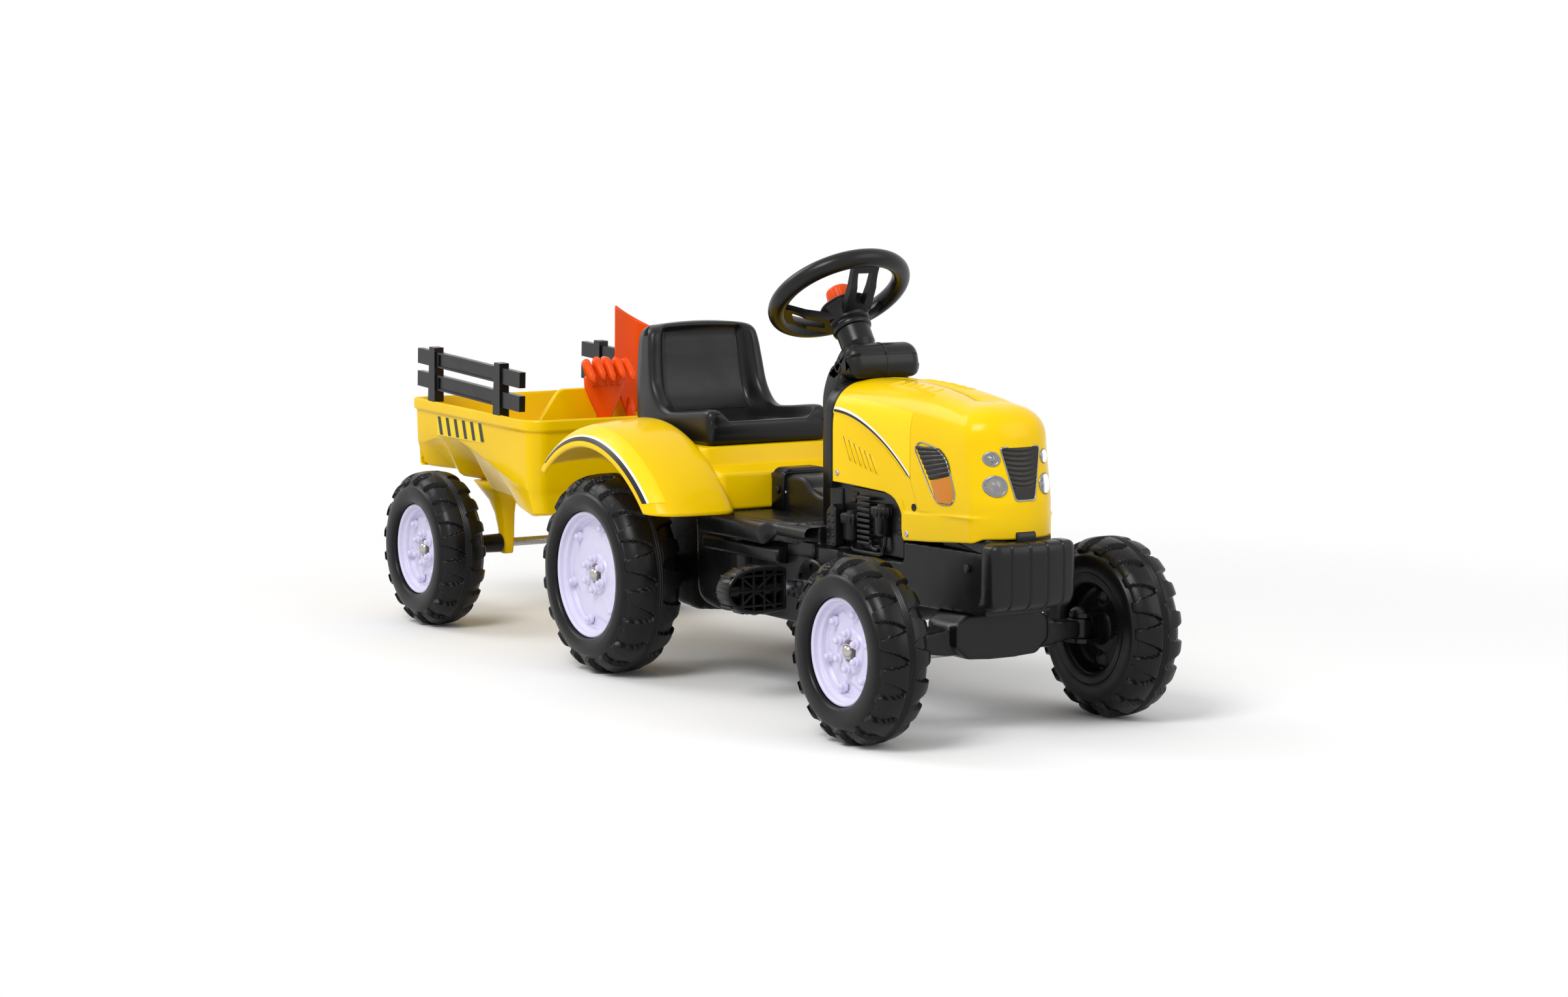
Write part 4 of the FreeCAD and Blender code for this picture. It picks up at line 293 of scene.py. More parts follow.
def add_node(tree, kind, settings=None, values=None, links=None):
    """A shader node with its settings, its socket values and the sockets that feed it."""
    item = tree.nodes.new(kind)
    for name, value in (settings or {}).items():
        setattr(item, name, value)
    for name, value in (values or {}).items():
        item.inputs[name].default_value = value
    for name, socket in (links or {}).items():
        tree.links.new(socket, item.inputs[name])
    return item


def new_material(name, colour, rough, **extra):
    """A material with its tree, its surface shader and object coordinates in metres."""
    item = bpy.data.materials.new(name)
    item.use_nodes = True
    tree = item.node_tree
    shader = tree.nodes["Principled BSDF"]
    for socket, value in {"Base Color": colour, "Roughness": rough, **extra}.items():
        shader.inputs[socket].default_value = value
    spot = add_node(tree, "ShaderNodeTexCoord").outputs["Object"]
    return item, tree, shader, spot


def grain(tree, shader, spot, size_mm, height_mm):
    """Fine moulded grain: a noise of real size that lifts the surface by a real height."""
    noise = add_node(tree, "ShaderNodeTexNoise", values={"Scale": 1 / (size_mm * MM), "Detail": 3.0},
                     links={"Vector": spot})
    bump = add_node(tree, "ShaderNodeBump", values={"Strength": 1.0, "Distance": height_mm * MM},
                    links={"Height": noise.outputs["Fac"]})
    tree.links.new(bump.outputs["Normal"], shader.inputs["Normal"])


def mottle(tree, shader, spot, size_mm, low, high, socket="Roughness"):
    """Slow change of colour or roughness over a real distance, as moulded plastic shows."""
    noise = add_node(tree, "ShaderNodeTexNoise", values={"Scale": 1 / (size_mm * MM), "Detail": 2.0},
                     links={"Vector": spot})
    ramp = add_node(tree, "ShaderNodeMapRange", values={"From Min": 0.35, "From Max": 0.65},
                    links={"Value": noise.outputs["Fac"]})
    if socket == "Base Color":
        mix = add_node(tree, "ShaderNodeMix", {"data_type": "RGBA"}, {6: low, 7: high},
                       {0: ramp.outputs["Result"]})
        tree.links.new(mix.outputs[2], shader.inputs[socket])
    else:
        ramp.inputs["To Min"].default_value, ramp.inputs["To Max"].default_value = low, high
        tree.links.new(ramp.outputs["Result"], shader.inputs[socket])


# short name of a finish: real material and process, colour, range of roughness, size of its patches in mm,
# size and height of the grain in mm, further sockets; the comment before it says what it gives the eye
def finish_table(colours):
    """Every plain finish of the toy by its short name."""
    return {
        # blow-moulded polyethylene, thick and waxy: deep gloss with soft broad highlights
        "yellow_plastic": ("blow_moulded_polyethylene_yellow", colours.yellow, (0.16, 0.24), 120, 14.0, 0.012,
                           {"Specular IOR Level": 0.16}),
        # the same polyethylene in black: satin with a fine pebble from the mould wall
        "black_plastic": ("blow_moulded_polyethylene_black", colours.black, (0.24, 0.34), 45, 1.3, 0.03,
                          {"Specular IOR Level": 0.27}),
        # black polyethylene from a blasted mould: duller, pebbled tread
        "tyre_plastic": ("blow_moulded_polyethylene_tyre", colours.tyre, (0.28, 0.38), 25, 1.2, 0.03,
                         {"Specular IOR Level": 0.22}),
        # black polyethylene from an etched mould: leather grain, drawn 1.5 times as coarse as it is so that it shows
        "seat_grain": ("blow_moulded_polyethylene_leather_grain", colours.black, (0.32, 0.42), 40, 2.4, 0.12,
                       {"Specular IOR Level": 0.32}),
        # injection-moulded polypropylene, polished mould: lavender white with clear highlights
        "white_plastic": ("injection_moulded_polypropylene_white", colours.white, (0.24, 0.34), 40, 3.0, 0.006, {}),
        # injection-moulded polypropylene in orange: clear gloss, light passes a little way in
        "orange_plastic": ("injection_moulded_polypropylene_orange", colours.orange, (0.16, 0.26), 30, 9.0, 0.01,
                           {"Specular IOR Level": 0.18}),
        # zinc-plated drawn steel: greyish metal with patches of duller plating
        "steel": ("zinc_plated_drawn_steel", colours.steel, (0.22, 0.42), 6, 0.8, 0.004, {"Metallic": 1.0}),
        # chrome-plated steel: mirror with faint polishing haze
        "chrome": ("chrome_plated_polished_steel", colours.chrome, (0.05, 0.14), 8, 4.0, 0.002, {"Metallic": 1.0}),
        # vacuum-coated ABS: the silver edging of the lamp and grille inserts
        "silver_trim": ("vacuum_coated_abs_silver", colours.silver, (0.2, 0.34), 12, 3.0, 0.004, {"Metallic": 0.85}),
        # printed ABS insert under clear lacquer: near black with a sharp sheen
        "grille_plastic": ("printed_abs_insert_dark", colours.grille, (0.22, 0.36), 10, 3.0, 0.006,
                           {"Specular IOR Level": 0.3}),
        # printed polypropylene sticker film: a shade paler than the plastic under it
        "film": ("printed_sticker_film_yellow", colours.film, (0.26, 0.36), 30, 8.0, 0.01,
                 {"Specular IOR Level": 0.2}),
        # printed sticker ink, white and black: flat, slightly glossier than the film; the black one also serves as
        # painted shade in the slits beside the bonnet louvres
        "ink_white": ("printed_sticker_ink_white", colours.ink_white, (0.26, 0.34), 30, 6.0, 0.004, {}),
        "ink_black": ("printed_sticker_ink_black", colours.ink_black, (0.26, 0.34), 30, 6.0, 0.004,
                      {"Specular IOR Level": 0.35}),
        # amber polystyrene from a polished mould: deep colour that breaks up in its moulded facets
        "amber_lens": ("injection_moulded_amber_polystyrene", colours.amber, (0.1, 0.18), 10, 3.4, 0.25,
                       {"Specular IOR Level": 0.4}),
        # clear polystyrene lens: a bright window in front of the reflector
        "clear_lens": ("injection_moulded_clear_polystyrene", colours.lens, (0.04, 0.08), 10, 4.0, 0.03,
                       {"Transmission Weight": 1.0, "IOR": 1.2}),
    }


def build_materials(colours):
    """Make every finish from the table."""
    for short, (name, colour, rough, patch, size, height, extra) in finish_table(colours).items():
        item, tree, shader, spot = new_material(name, linear(colour), rough[0], **extra)
        mottle(tree, shader, spot, patch, *rough)
        grain(tree, shader, spot, size, height)
        if short == "yellow_plastic":
            mottle(tree, shader, spot, 160, linear(colours.yellow_deep), linear(colour), "Base Color")
        MATERIALS[short] = item


class TractorColours(bpy.types.PropertyGroup):
    """Finish colours as sRGB hex."""
    yellow: StringProperty(name="Yellow", description="Bonnet, rear body and trailer", default="#F5CC00")
    yellow_deep: StringProperty(name="Deep yellow", description="Thicker patches of the yellow", default="#F0C400")
    black: StringProperty(name="Black", description="Chassis, seat and steering", default="#121213")
    tyre: StringProperty(name="Tyre", description="Tyres", default="#0D0D0E")
    white: StringProperty(name="White", description="Rims", default="#D4D0E8")
    orange: StringProperty(name="Orange", description="Rake, shovel and horn button", default="#F2520C")
    amber: StringProperty(name="Amber", description="Indicator lenses", default="#CE7A00")
    lens: StringProperty(name="Lens", description="Headlamp lenses", default="#F4F6F8")
    steel: StringProperty(name="Steel", description="Axles, pins and screws", default="#B9BBBF")
    chrome: StringProperty(name="Chrome", description="Wheel nuts and reflectors", default="#B8B4AC")
    silver: StringProperty(name="Silver", description="Edging of lamps and grille", default="#8E9094")
    grille: StringProperty(name="Grille", description="Grille and lamp panels", default="#17120A")
    film: StringProperty(name="Film", description="Bare sticker film", default="#F7D414")
    ink_white: StringProperty(name="White ink", description="White stripes", default="#F2F0E6")
    ink_black: StringProperty(name="Black ink", description="Black stripes", default="#121212")
    floor: StringProperty(name="Floor", description="Studio floor", default="#F6F6F6")


class TractorSizes(bpy.types.PropertyGroup):
    """Main sizes in millimetres, as the CAD frame has them."""
    wheelbase: FloatProperty(name="Wheelbase", description="Rear axle to front axle", default=589.0)
    trailer_gap: FloatProperty(name="Trailer gap", description="Rear axle to trailer axle", default=490.0)
    overall_width: FloatProperty(name="Width", description="Over the wheels", default=420.0)
    front_radius: FloatProperty(name="Front radius", description="Front and trailer tyres", default=106.0)
    front_width: FloatProperty(name="Front width", description="Front and trailer tyres", default=70.0)
    front_rim: FloatProperty(name="Front rim", description="Radius of the front and trailer rims", default=62.0)
    rear_radius: FloatProperty(name="Rear radius", description="Rear tyres", default=126.0)
    rear_width: FloatProperty(name="Rear width", description="Rear tyres", default=86.0)
    rear_rim: FloatProperty(name="Rear rim", description="Radius of the rear rims", default=80.0)
    lugs: IntProperty(name="Lugs", description="Lugs on each shoulder", default=18)
    lug_height: FloatProperty(name="Lug height", description="Height of the lugs", default=5.2)


class TractorStage(bpy.types.PropertyGroup):
    """Camera and light of the studio, in metres and watts."""
    camera: FloatVectorProperty(name="Camera", description="Place of the camera", subtype="XYZ",
                                default=(3.8051, -2.2868, 0.7121))
    target: FloatVectorProperty(name="Target", description="Point it looks at", subtype="XYZ",
                                default=(0.1123, 0.0, 0.2242))
    lens: FloatProperty(name="Lens", description="Focal length in millimetres", unit="CAMERA", default=80.27)
    key: FloatProperty(name="Key light", description="Power of the main lamp", unit="POWER", default=92.0)
    fill: FloatProperty(name="Fill light", description="Power of the lamp on the other side", unit="POWER",
                        default=34.0)
    rear: FloatProperty(name="Rear light", description="Power of the lamp behind", unit="POWER", default=34.0)
    sky: FloatProperty(name="Sky", description="Strength of the even light", subtype="FACTOR", default=0.6)


MATERIALS = {}


class TRACTOR_OT_finishes(bpy.types.Operator):
    """Give every CAD piece its finish"""
    bl_idname = "tractor.finishes"
    bl_label = "Finishes"

    def execute(self, context):
        build_materials(context.scene.tractor_colours)
        slots = {item["node"]: item["material_slot"] for item in frame["record"]["subparts"]}
        for name, node in frame["nodes"].items():
            node.data.materials.clear()
            node.data.materials.append(MATERIALS[slots[name]])
        return {"FINISHED"}


def aimed(item, spot, target):
    """Set a lamp or camera at a spot so that it looks at a target, and put it in the scene."""
    item.location = spot
    item.rotation_euler = (Vector(target) - Vector(spot)).to_track_quat("-Z", "Y").to_euler()
    bpy.context.scene.collection.objects.link(item)
    return item


class TRACTOR_OT_stage(bpy.types.Operator):
    """Floor, soft light and camera"""
    bl_idname = "tractor.stage"
    bl_label = "Stage"

    def execute(self, context):
        scene = context.scene
        setup = scene.tractor_stage
        scene.view_settings.view_transform = "Standard"
        self.lay_floor(linear(scene.tractor_colours.floor))
        scene.world = self.white_world(setup.sky)
        for name, spot, size, power in (("key", (1.6, -2.6, 3.2), 1.6, setup.key),
                                        ("fill", (3.2, 1.6, 2.0), 2.6, setup.fill),
                                        ("rear", (-2.4, -1.6, 2.8), 1.8, setup.rear)):
            light = bpy.data.lights.new(name, "AREA")
            light.energy, light.size = power, size
            aimed(bpy.data.objects.new(name, light), spot, (0, 0, 0.2))
        camera = bpy.data.objects.new("camera", bpy.data.cameras.new("camera"))
        camera.data.lens, camera.data.sensor_width = setup.lens, 36.0
        scene.camera = aimed(camera, setup.camera, setup.target)
        return {"FINISHED"}

    def lay_floor(self, colour):
        """The floor thins out away from the object, so its shadow lies on the same white as the background."""
        floor = new_piece("floor", [(-40, -40, 0), (40, -40, 0), (40, 40, 0), (-40, 40, 0)], [(0, 1, 2, 3)])
        item, tree, shader, spot = new_material("painted_studio_floor_pale", colour, 0.9)
        mottle(tree, shader, spot, 400, 0.85, 0.95)
        away = add_node(tree, "ShaderNodeVectorMath", {"operation": "LENGTH"}, links={0: spot})
        fade = add_node(tree, "ShaderNodeMapRange", {"interpolation_type": "SMOOTHSTEP"},
                        {"From Min": 0.75, "From Max": 1.7}, {"Value": away.outputs["Value"]})
        clear = add_node(tree, "ShaderNodeBsdfTransparent")
        thin = add_node(tree, "ShaderNodeMixShader",
                        links={0: fade.outputs["Result"], 1: shader.outputs[0], 2: clear.outputs[0]})
        tree.links.new(thin.outputs[0], tree.nodes["Material Output"].inputs["Surface"])
        floor.data.materials.append(item)

    def white_world(self, strength):
        """An even light of its own strength, seen as plain white by the camera, in gloss and through lenses."""
        world = bpy.data.worlds.new("studio")
        world.use_nodes = True
        tree = world.node_tree
        even = tree.nodes["Background"]
        even.inputs["Color"].default_value = (1, 1, 1, 1)
        even.inputs["Strength"].default_value = strength
        white = add_node(tree, "ShaderNodeBackground", values={"Color": (1, 1, 1, 1), "Strength": 1.0})
        path = add_node(tree, "ShaderNodeLightPath")
        seen = path.outputs["Is Camera Ray"]
        for ray in ("Is Glossy Ray", "Is Transmission Ray"):
            seen = add_node(tree, "ShaderNodeMath", {"operation": "ADD", "use_clamp": True},
                            links={0: seen, 1: path.outputs[ray]}).outputs[0]
        mixed = add_node(tree, "ShaderNodeMixShader", links={0: seen, 1: even.outputs[0], 2: white.outputs[0]})
        tree.links.new(mixed.outputs[0], tree.nodes["World Output"].inputs["Surface"])
        return world


def tyre_section(radius, width, rim, hub_end, lug):
    """Section of a hollow tyre from the rim seat over the tread to the inner dish, as (along, radius) points."""
    low = radius - lug
    shoulder = smooth_line([(0, low), (0.16 * width, low - 0.004 * radius), (0.29 * width, low - 0.028 * radius),
                            (0.37 * width, low - 0.07 * radius), (0.415 * width, low - 0.115 * radius),
                            (0.435 * width, 0.835 * radius)], 30)
    wall = smooth_line([(0.442 * width, 0.828 * radius), (0.478 * width, 0.8 * radius),
                        (0.495 * width, 0.74 * radius), (0.492 * width, rim + 9), (0.47 * width, rim + 3.2),
                        (0.43 * width, rim + 0.8), (0.38 * width, rim + 0.5)], 18)
    half = width / 2
    dish = smooth_line([(1.2 - half, rim + 3), (3 - half, 0.9 * rim), (7 - half, 0.84 * rim), (20 - half, 0.8 * rim),
                        (24 - half, 0.74 * rim), (23 - half, 0.55 * rim), (21 - half, 0.42 * rim), (20 - half, 21),
                        (hub_end + 3, 18.5), (hub_end, 17), (hub_end, 7)], 30)
    outer = list(reversed(wall)) + list(reversed(shoulder))
    inner = [(-a, r) for a, r in shoulder[1:]] + [(-a, r) for a, r in wall[:-4]]
    return outer + inner + dish, len(wall), len(wall) + 2 * len(shoulder) - 1


def tread(section, first, last, radius, width, rim, lugs, lug):
    """Relief of a tyre: a raised ring with leaf-shaped hollows open to each shoulder, crown ribs and dish scoops."""
    pitch = 2 * math.pi * radius / lugs
    middle = (first + last - 1) // 2
    # distance of each point from the crown, along the section
    reach = [0.0] * len(section)
    for k in range(middle + 1, last):
        reach[k] = reach[k - 1] + math.dist(section[k], section[k - 1])
    for k in range(middle - 1, first - 1, -1):
        reach[k] = reach[k + 1] + math.dist(section[k], section[k + 1])
    end = reach[first]
    tip = 0.055 * width

    def relief(k, angle, along, radial):
        if first <= k < last:
            ahead, behind = section[min(k + 1, last - 1)], section[max(k - 1, first)]
            way = Vector((behind[1] - ahead[1], ahead[0] - behind[0])).normalized()
            way = way if way.y > 0 or way.x * along > 0 else -way
            # the leaves of the two shoulders stand half a pitch apart and lean a little
            offset = 0.0 if along > 0 else 0.5
            turn = (angle * radius / pitch + offset + 0.12 * reach[k] / end) % 1.0 - 0.5
            opening = min(max((reach[k] - tip) / (end - tip), 0.0), 1.0)
            half = 0.345 * pitch * opening ** 0.55
            hollow = step(-0.6, 1.0, half - abs(turn) * pitch) if reach[k] > tip else 0.0
            height = lug * (1 - 0.92 * hollow)
            for rib in (1.3, 3.9):
                height -= 0.9 * (1 - step(0.2, 1.0, abs(reach[k] - rib)))
            return along + way.x * height, radial + way.y * height
        if k >= last + 14 and 0.4 * rim < radial < 0.85 * rim:
            lobe = max(0.0, math.cos(4 * angle)) ** 3
            ring = step(0.42 * rim, 0.56 * rim, radial) * (1 - step(0.7 * rim, 0.82 * rim, radial))
            return along - 8 * lobe * ring, radial
        return along, radial
    return relief


def wheel_places(setup):
    """The six wheels: name, bodies, axle x, radius, width, rim radius and the inner end of the hub."""
    small = setup.front_radius, setup.front_width, setup.front_rim
    large = setup.rear_radius, setup.rear_width, setup.rear_rim
    return (("front", ("front_wheel_left", "front_wheel_right"), setup.wheelbase, *small, -22.5),
            ("rear", ("rear_wheel_left", "rear_drive"), 0.0, *large, -83.0),
            ("trailer", ("trailer_wheel_left", "trailer_wheel_right"), -setup.trailer_gap, *small, -20.0))


def set_on_side(item, sign, middle):
    """Move a piece made on the axis out to its side of the toy, mirrored for the right side."""
    for point in item.data.vertices:
        point.co.y = sign * (point.co.y + middle * MM)
    return facing(item, sign < 0)


class TRACTOR_OT_tyres(bpy.types.Operator):
    """Six blow-moulded tyres with leaf-shaped hollows between their lugs"""
    bl_idname = "tractor.tyres"
    bl_label = "Tyres"

    def execute(self, context):
        setup = context.scene.tractor_sizes
        for name, bodies, x, radius, width, rim, hub_end in wheel_places(setup):
            section, first, last = tyre_section(radius, width, rim, hub_end, setup.lug_height)
            relief = tread(section, first, last, radius, width, rim, setup.lugs, setup.lug_height)
            for side, sign, body in (("left", 1, bodies[0]), ("right", -1, bodies[1])):
                item = turned(f"{name}_tyre_{side}_skin", section, setup.lugs * 24, place(x, 0, radius), "Y", relief)
                set_on_side(item, sign, setup.overall_width / 2 - width / 2)
                dress(crisp(item, 40), body, "tyre_plastic", f"{name}_tyre_{side}")
        return {"FINISHED"}


class TRACTOR_OT_rims(bpy.types.Operator):
    """White rims with a bead, a scalloped disc and two rings of bolt heads"""
    bl_idname = "tractor.rims"
    bl_label = "Rims"

    def execute(self, context):
        setup = context.scene.tractor_sizes
        head = ((0, 5.8), (3.0, 5.8), (3.8, 5.2), (4.0, 4.0), (7.6, 3.8), (8.8, 2.8), (9.2, 0.02))
        for name, bodies, x, radius, width, rim, hub_end in wheel_places(setup):
            middle = setup.overall_width / 2 - width / 2
            # the bead stands 8 mm inside the wheel's outer face, and the disc 15 mm behind the bead
            bead = setup.overall_width / 2 - 8.0 - middle
            disc = bead - 15.0
            profile = smooth_line([(disc - 4, rim - 0.3), (bead - 3, rim), (bead - 0.4, rim - 0.8), (bead, rim - 2.6),
                                   (bead - 1.2, rim - 4.6), (bead - 4.5, rim - 5.4), (bead - 7, rim - 6.6),
                                   (bead - 8, rim - 9), (bead - 11, rim - 10), (disc + 0.6, rim - 11),
                                   (disc, rim - 13)], 40)
            profile += [(disc, r) for r in spread(rim - 13, 27, 17)[1:]]
            profile += smooth_line([(disc + 0.8, 26.4), (disc + 2.6, 25.4), (disc + 3, 23.5), (disc + 3, 14),
                                    (disc - 1, 13), (disc - 3, 12), (disc - 3, 6.2)], 18)

            def scallop(k, angle, along, radial):
                if along < disc + 1.5 and 28 < radial < rim - 12.5:
                    along -= 1.6 * step(-1, 1, radial - (rim - 20) + 5.5 * math.cos(6 * angle))
                return along, radial
            for side, sign, body in (("left", 1, bodies[0]), ("right", -1, bodies[1])):
                parts = [turned("rim", profile, 144, place(x, 0, radius), "Y", scallop)]
                for ring, seat, shift in ((rim - 19, disc - 0.2, 0.25), (20, disc + 3, 0.0)):
                    for k in range(6):
                        angle = 2 * math.pi * (k + shift) / 6
                        centre = place(x + ring * math.sin(angle), 0, radius + ring * math.cos(angle))
                        parts.append(turned("bolt", [(seat + a, r) for a, r in head], 18, centre))
                item = set_on_side(joined(f"{name}_rim_{side}", parts), sign, middle)
                dress(crisp(item, 45), body, "white_plastic", f"{name}_cap_{side}")
        return {"FINISHED"}


# the bonnet's sections run from its back to its nose, its skin starts at a rear edge, its wall turns into the dome at
# the shoulder, the power gives the dome's roundness, and the part above the stripe is raised
BONNET_BACK, BONNET_NOSE, BONNET_EDGE = 352.0, 628.0, 368.0
SHOULDER, DOME, RAISED = 330.0, 1.35, 1.6


def bonnet_share(x):
    """How far a station lies along the bonnet, from 0 at its back to 1 at its nose."""
    return (x - BONNET_BACK) / (BONNET_NOSE - BONNET_BACK)


def bonnet_half(x):
    """Half width of the bonnet's side wall at a station."""
    return 72.5 - 18.5 * bonnet_share(x)


def bonnet_top(x):
    """Height of the bonnet's spine at a station."""
    return between([(352, 389), (390, 391.5), (437, 392), (500, 391), (560, 387.5), (600, 382.5), (657, 372)], x)


def bonnet_hem(x):
    """Height of the bonnet's lower edge: high over the engine, low at the nose."""
    return between([(352, 271), (400, 270), (470, 267), (482, 264), (490, 260), (497, 253), (502, 245), (505, 232),
                    (507, 218), (510, 214.5), (560, 217.5), (600, 221), (640, 224), (657, 228)], x)


def stripe_line(x):
    """Height of the curved stripe on the bonnet's side."""
    return 357.0 - 0.00295 * max(0.0, x - 368.0) ** 2


def bonnet_skin(x, z):
    """Where the bonnet's skin stands for a station and height, as x and half width."""
    share = bonnet_share(x)
    flank = bonnet_half(x)
    if z <= SHOULDER:
        lean = 10.0 * min(max((z - 268) / 63, 0.0), 1.0)
        if x > 505:
            # the band along the hem of the nose stands out
            band = bonnet_hem(x) + 0.28 * (SHOULDER - bonnet_hem(x))
            flank += 2.2 * (1 - step(band - 1, band + 1, z))
        if z > 290:
            edge = z - stripe_line(x) + 5.5
        else:
            edge = (x - between([(248, 536), (270, 527), (291, 519)], z)) * 0.9
        return x - lean * share, flank + RAISED * step(-1.2, 1.2, edge) * step(248, 251, z)
    rise = min((z - SHOULDER) / (bonnet_top(x) - SHOULDER), 1.0)
    level = max(math.cos(math.asin(rise ** DOME)), 0.0)
    flank += RAISED * step(-1.2, 1.2, z - stripe_line(x) + 5.5)
    return x - share * (10 + 54 * (1 - level ** 0.9)), flank * level ** (2 / 2.9)


def front_bow(y, half):
    """How far the bonnet's face stands before its corner: nearly flat between two soft corners."""
    soft = min(30.0, 0.6 * half)
    face = 33.0 - y * y / 170
    past = (abs(y) - half + soft) / max(soft, 0.01)
    return face * max(0.0, 1 - past ** 2.2) ** (1 / 2.2) if past > 0 else face


def on_face(y, z, proud):
    """A point on the bonnet's face."""
    out, flank = bonnet_skin(BONNET_NOSE, z)
    return place(out + front_bow(y, flank) + proud, y, z)


def on_bonnet(x, z, sign, proud):
    """A point on the bonnet's side at a true x and z, lifted off it a little."""
    station = x
    for _ in range(4):
        station = x + station - bonnet_skin(station, z)[0]
    return place(x, sign * (bonnet_skin(station, z)[1] + proud), z)


def on_top(x, y, proud):
    """A point on top of the bonnet, in millimetres."""
    low, high = SHOULDER + 1, bonnet_top(x)
    for _ in range(24):
        z = (low + high) / 2
        low, high = (z, high) if bonnet_skin(x, z)[1] > abs(y) else (low, z)
    return bonnet_skin(x, low)[0], y, low + proud


def bonnet_rows(rises):
    """Rows of the bonnet from its hem over the shoulder to its spine, each from the right side round the nose."""
    levels = [0, 0.02, 0.06, 0.12, 0.18, 0.22, 0.25, 0.262, 0.275, 0.288, 0.3] + spread(0.32, 1.0, 31)
    stations = [BONNET_EDGE + 2.65 * i for i in range(45)] + [486 + 1.5 * i for i in range(18)]
    stations += [513 + 3 * i for i in range(38)] + [626, BONNET_NOSE]
    nose_hem = bonnet_hem(657)
    rows = []
    for is_wall, value in [(True, v) for v in levels] + [(False, v) for v in rises]:
        side = []
        for x in stations:
            low, high = (bonnet_hem(x), SHOULDER) if is_wall else (SHOULDER, bonnet_top(x))
            z = low + (high - low) * value
            side.append((*bonnet_skin(x, z), z))
        z = side[-1][2]
        row = [(x, -y, h) for x, y, h in side]
        for a in range(-87, 88, 3):
            across = math.sin(math.radians(a))
            level = nose_hem + (SHOULDER - nose_hem) * value if is_wall else z
            level = z + (level - z) * step(1.0, 0.8, abs(across))
            near, wide = bonnet_skin(BONNET_NOSE, level)
            row.append((near + front_bow(wide * across, wide), wide * across, level))
        rows.append([place(*p) for p in row + list(reversed(side))])
    return rows


def bonnet_trim(sign, side):
    """The bare film with its two stripes, the louvres and the painted shade in the slits beside them on one side of the
    bonnet.
    """
    film, white, black = [], [], []
    for x in spread(370.5, 520, 56):
        low, top = stripe_line(x), between([(352, 373), (440, 370), (521, 363)], x)
        film.append([on_bonnet(x, z, sign, 0.3) for z in spread(low + 1.6, top, 13)])
        white.append([on_bonnet(x, low + h, sign, 0.6) for h in (-0.4, 0.5, 1.5, 2.6)])
        black.append([on_bonnet(x, low + h, sign, 0.4) for h in (-3.4, -2.6, -1.9, -1.1, -0.4)])
    for name, grid, finish in (("film", film, "film"), ("white_stripe", white, "ink_white"),
                               ("black_stripe", black, "ink_black")):
        dress(facing(sheet_of(f"bonnet_{name}_{side}", grid), sign < 0), "tractor", finish)
    slats, slit_shade_strips = [], []
    for k in range(6):
        x, high, low = 393 + 10.2 * k, 326 - 3.4 * k, 297 - 2.2 * k

        def spot(t, ahead, proud):
            return on_bonnet(x + 14 * t + ahead, high + (low - high) * t, sign, proud)
        rows = []
        for t in spread(0, 1, 9):
            half = 2.3 * min(1.0, 4 * t + 0.15, 4 * (1 - t) + 0.15)
            rows.append([spot(t, half * share, proud)
                         for share, proud in ((-1, 0.05), (-0.4, 1.5), (0.5, 1.3), (1, 0.05))])
        slats.append(sheet_of("slat", rows))
        # a thin black strip before each slat is painted shade: it darkens the slit where the louvre shades the skin
        slit_shade_strips.append(sheet_of("painted_slit_shade", [[spot(t, -3.4, 0.35), spot(t, -2.2, 0.35)]
                                     for t in (0.02, 0.25, 0.5, 0.75, 0.98)]))
    dress(joined(f"bonnet_slit_shade_{side}", slit_shade_strips), "tractor", "ink_black")
    dress(facing(joined(f"bonnet_louvres_{side}", slats), sign > 0), "tractor", "yellow_plastic")


class TRACTOR_OT_bonnet(bpy.types.Operator):
    """The yellow bonnet with its hem band, crease, flutes, louvres and curved stripe"""
    bl_idname = "tractor.bonnet"
    bl_label = "Bonnet"

    def execute(self, context):
        rises = [math.sin(math.radians(90 * (i + 1) / 34)) ** (1 / DOME) for i in range(34)]
        item = walled(sheet_of("bonnet_skin", bonnet_rows(rises)), 2.5)
        dress(item, "tractor", "yellow_plastic", "bonnet")
        # the black frame that the bonnet's rear edge sits in
        heights = [262, 290, 320, SHOULDER] + [SHOULDER + (389 - SHOULDER) * r for r in rises]
        half = [(bonnet_skin(BONNET_EDGE, z)[1] + 1.4, z + 1.2 * step(SHOULDER, 389, z)) for z in heights]
        outline = [(-y, z) for y, z in half] + [(y, z) for y, z in reversed(half[:-1])]
        dress(pressed("bonnet_frame", outline, 350, 369, 2, "X"), "tractor", "black_plastic")
        for name, finish, nodes, spots, head in (
                ("bonnet_screw_heads", "steel", ["bonnet_screws"], ((378, 281.5), (515.5, 222.5)),
                 ((-1, 3.6), (0.9, 3.5), (1.5, 2.8), (1.6, 1.2), (0.9, 0.9), (0.9, 0.02))),
                ("bonnet_plugs", "black_plastic", [], ((526, 254),),
                 ((-1, 4.4), (0.9, 4.3), (1.1, 3.8), (0.7, 3.3), (0.3, 0.02)))):
            heads = []
            for sign, side in SIDES:
                for x, z in spots:
                    profile = [(sign * along, radius) for along, radius in head]
                    heads.append(facing(turned("head", profile, 28, on_bonnet(x, z, sign, 0.0)), sign < 0))
            dress(joined(name, heads), "tractor", finish, *nodes)
        # crescent flutes on the top, half sunk into the skin
        flutes = []
        for sign, side in SIDES:
            for k in range(5):
                bows = [math.sin(math.pi * i / 20) for i in range(21)]
                line = [on_top(446 + 24 * k + 15 * bow, sign * (7 + 1.55 * i - k), -1.2)
                        for i, bow in enumerate(bows)]
                flutes.append(tube("flute", line, [2.6 * max(0.2, bow) ** 0.5 for bow in bows]))
        dress(joined("bonnet_flutes", flutes), "tractor", "yellow_plastic")
        for sign, side in SIDES:
            bonnet_trim(sign, side)
        return {"FINISHED"}


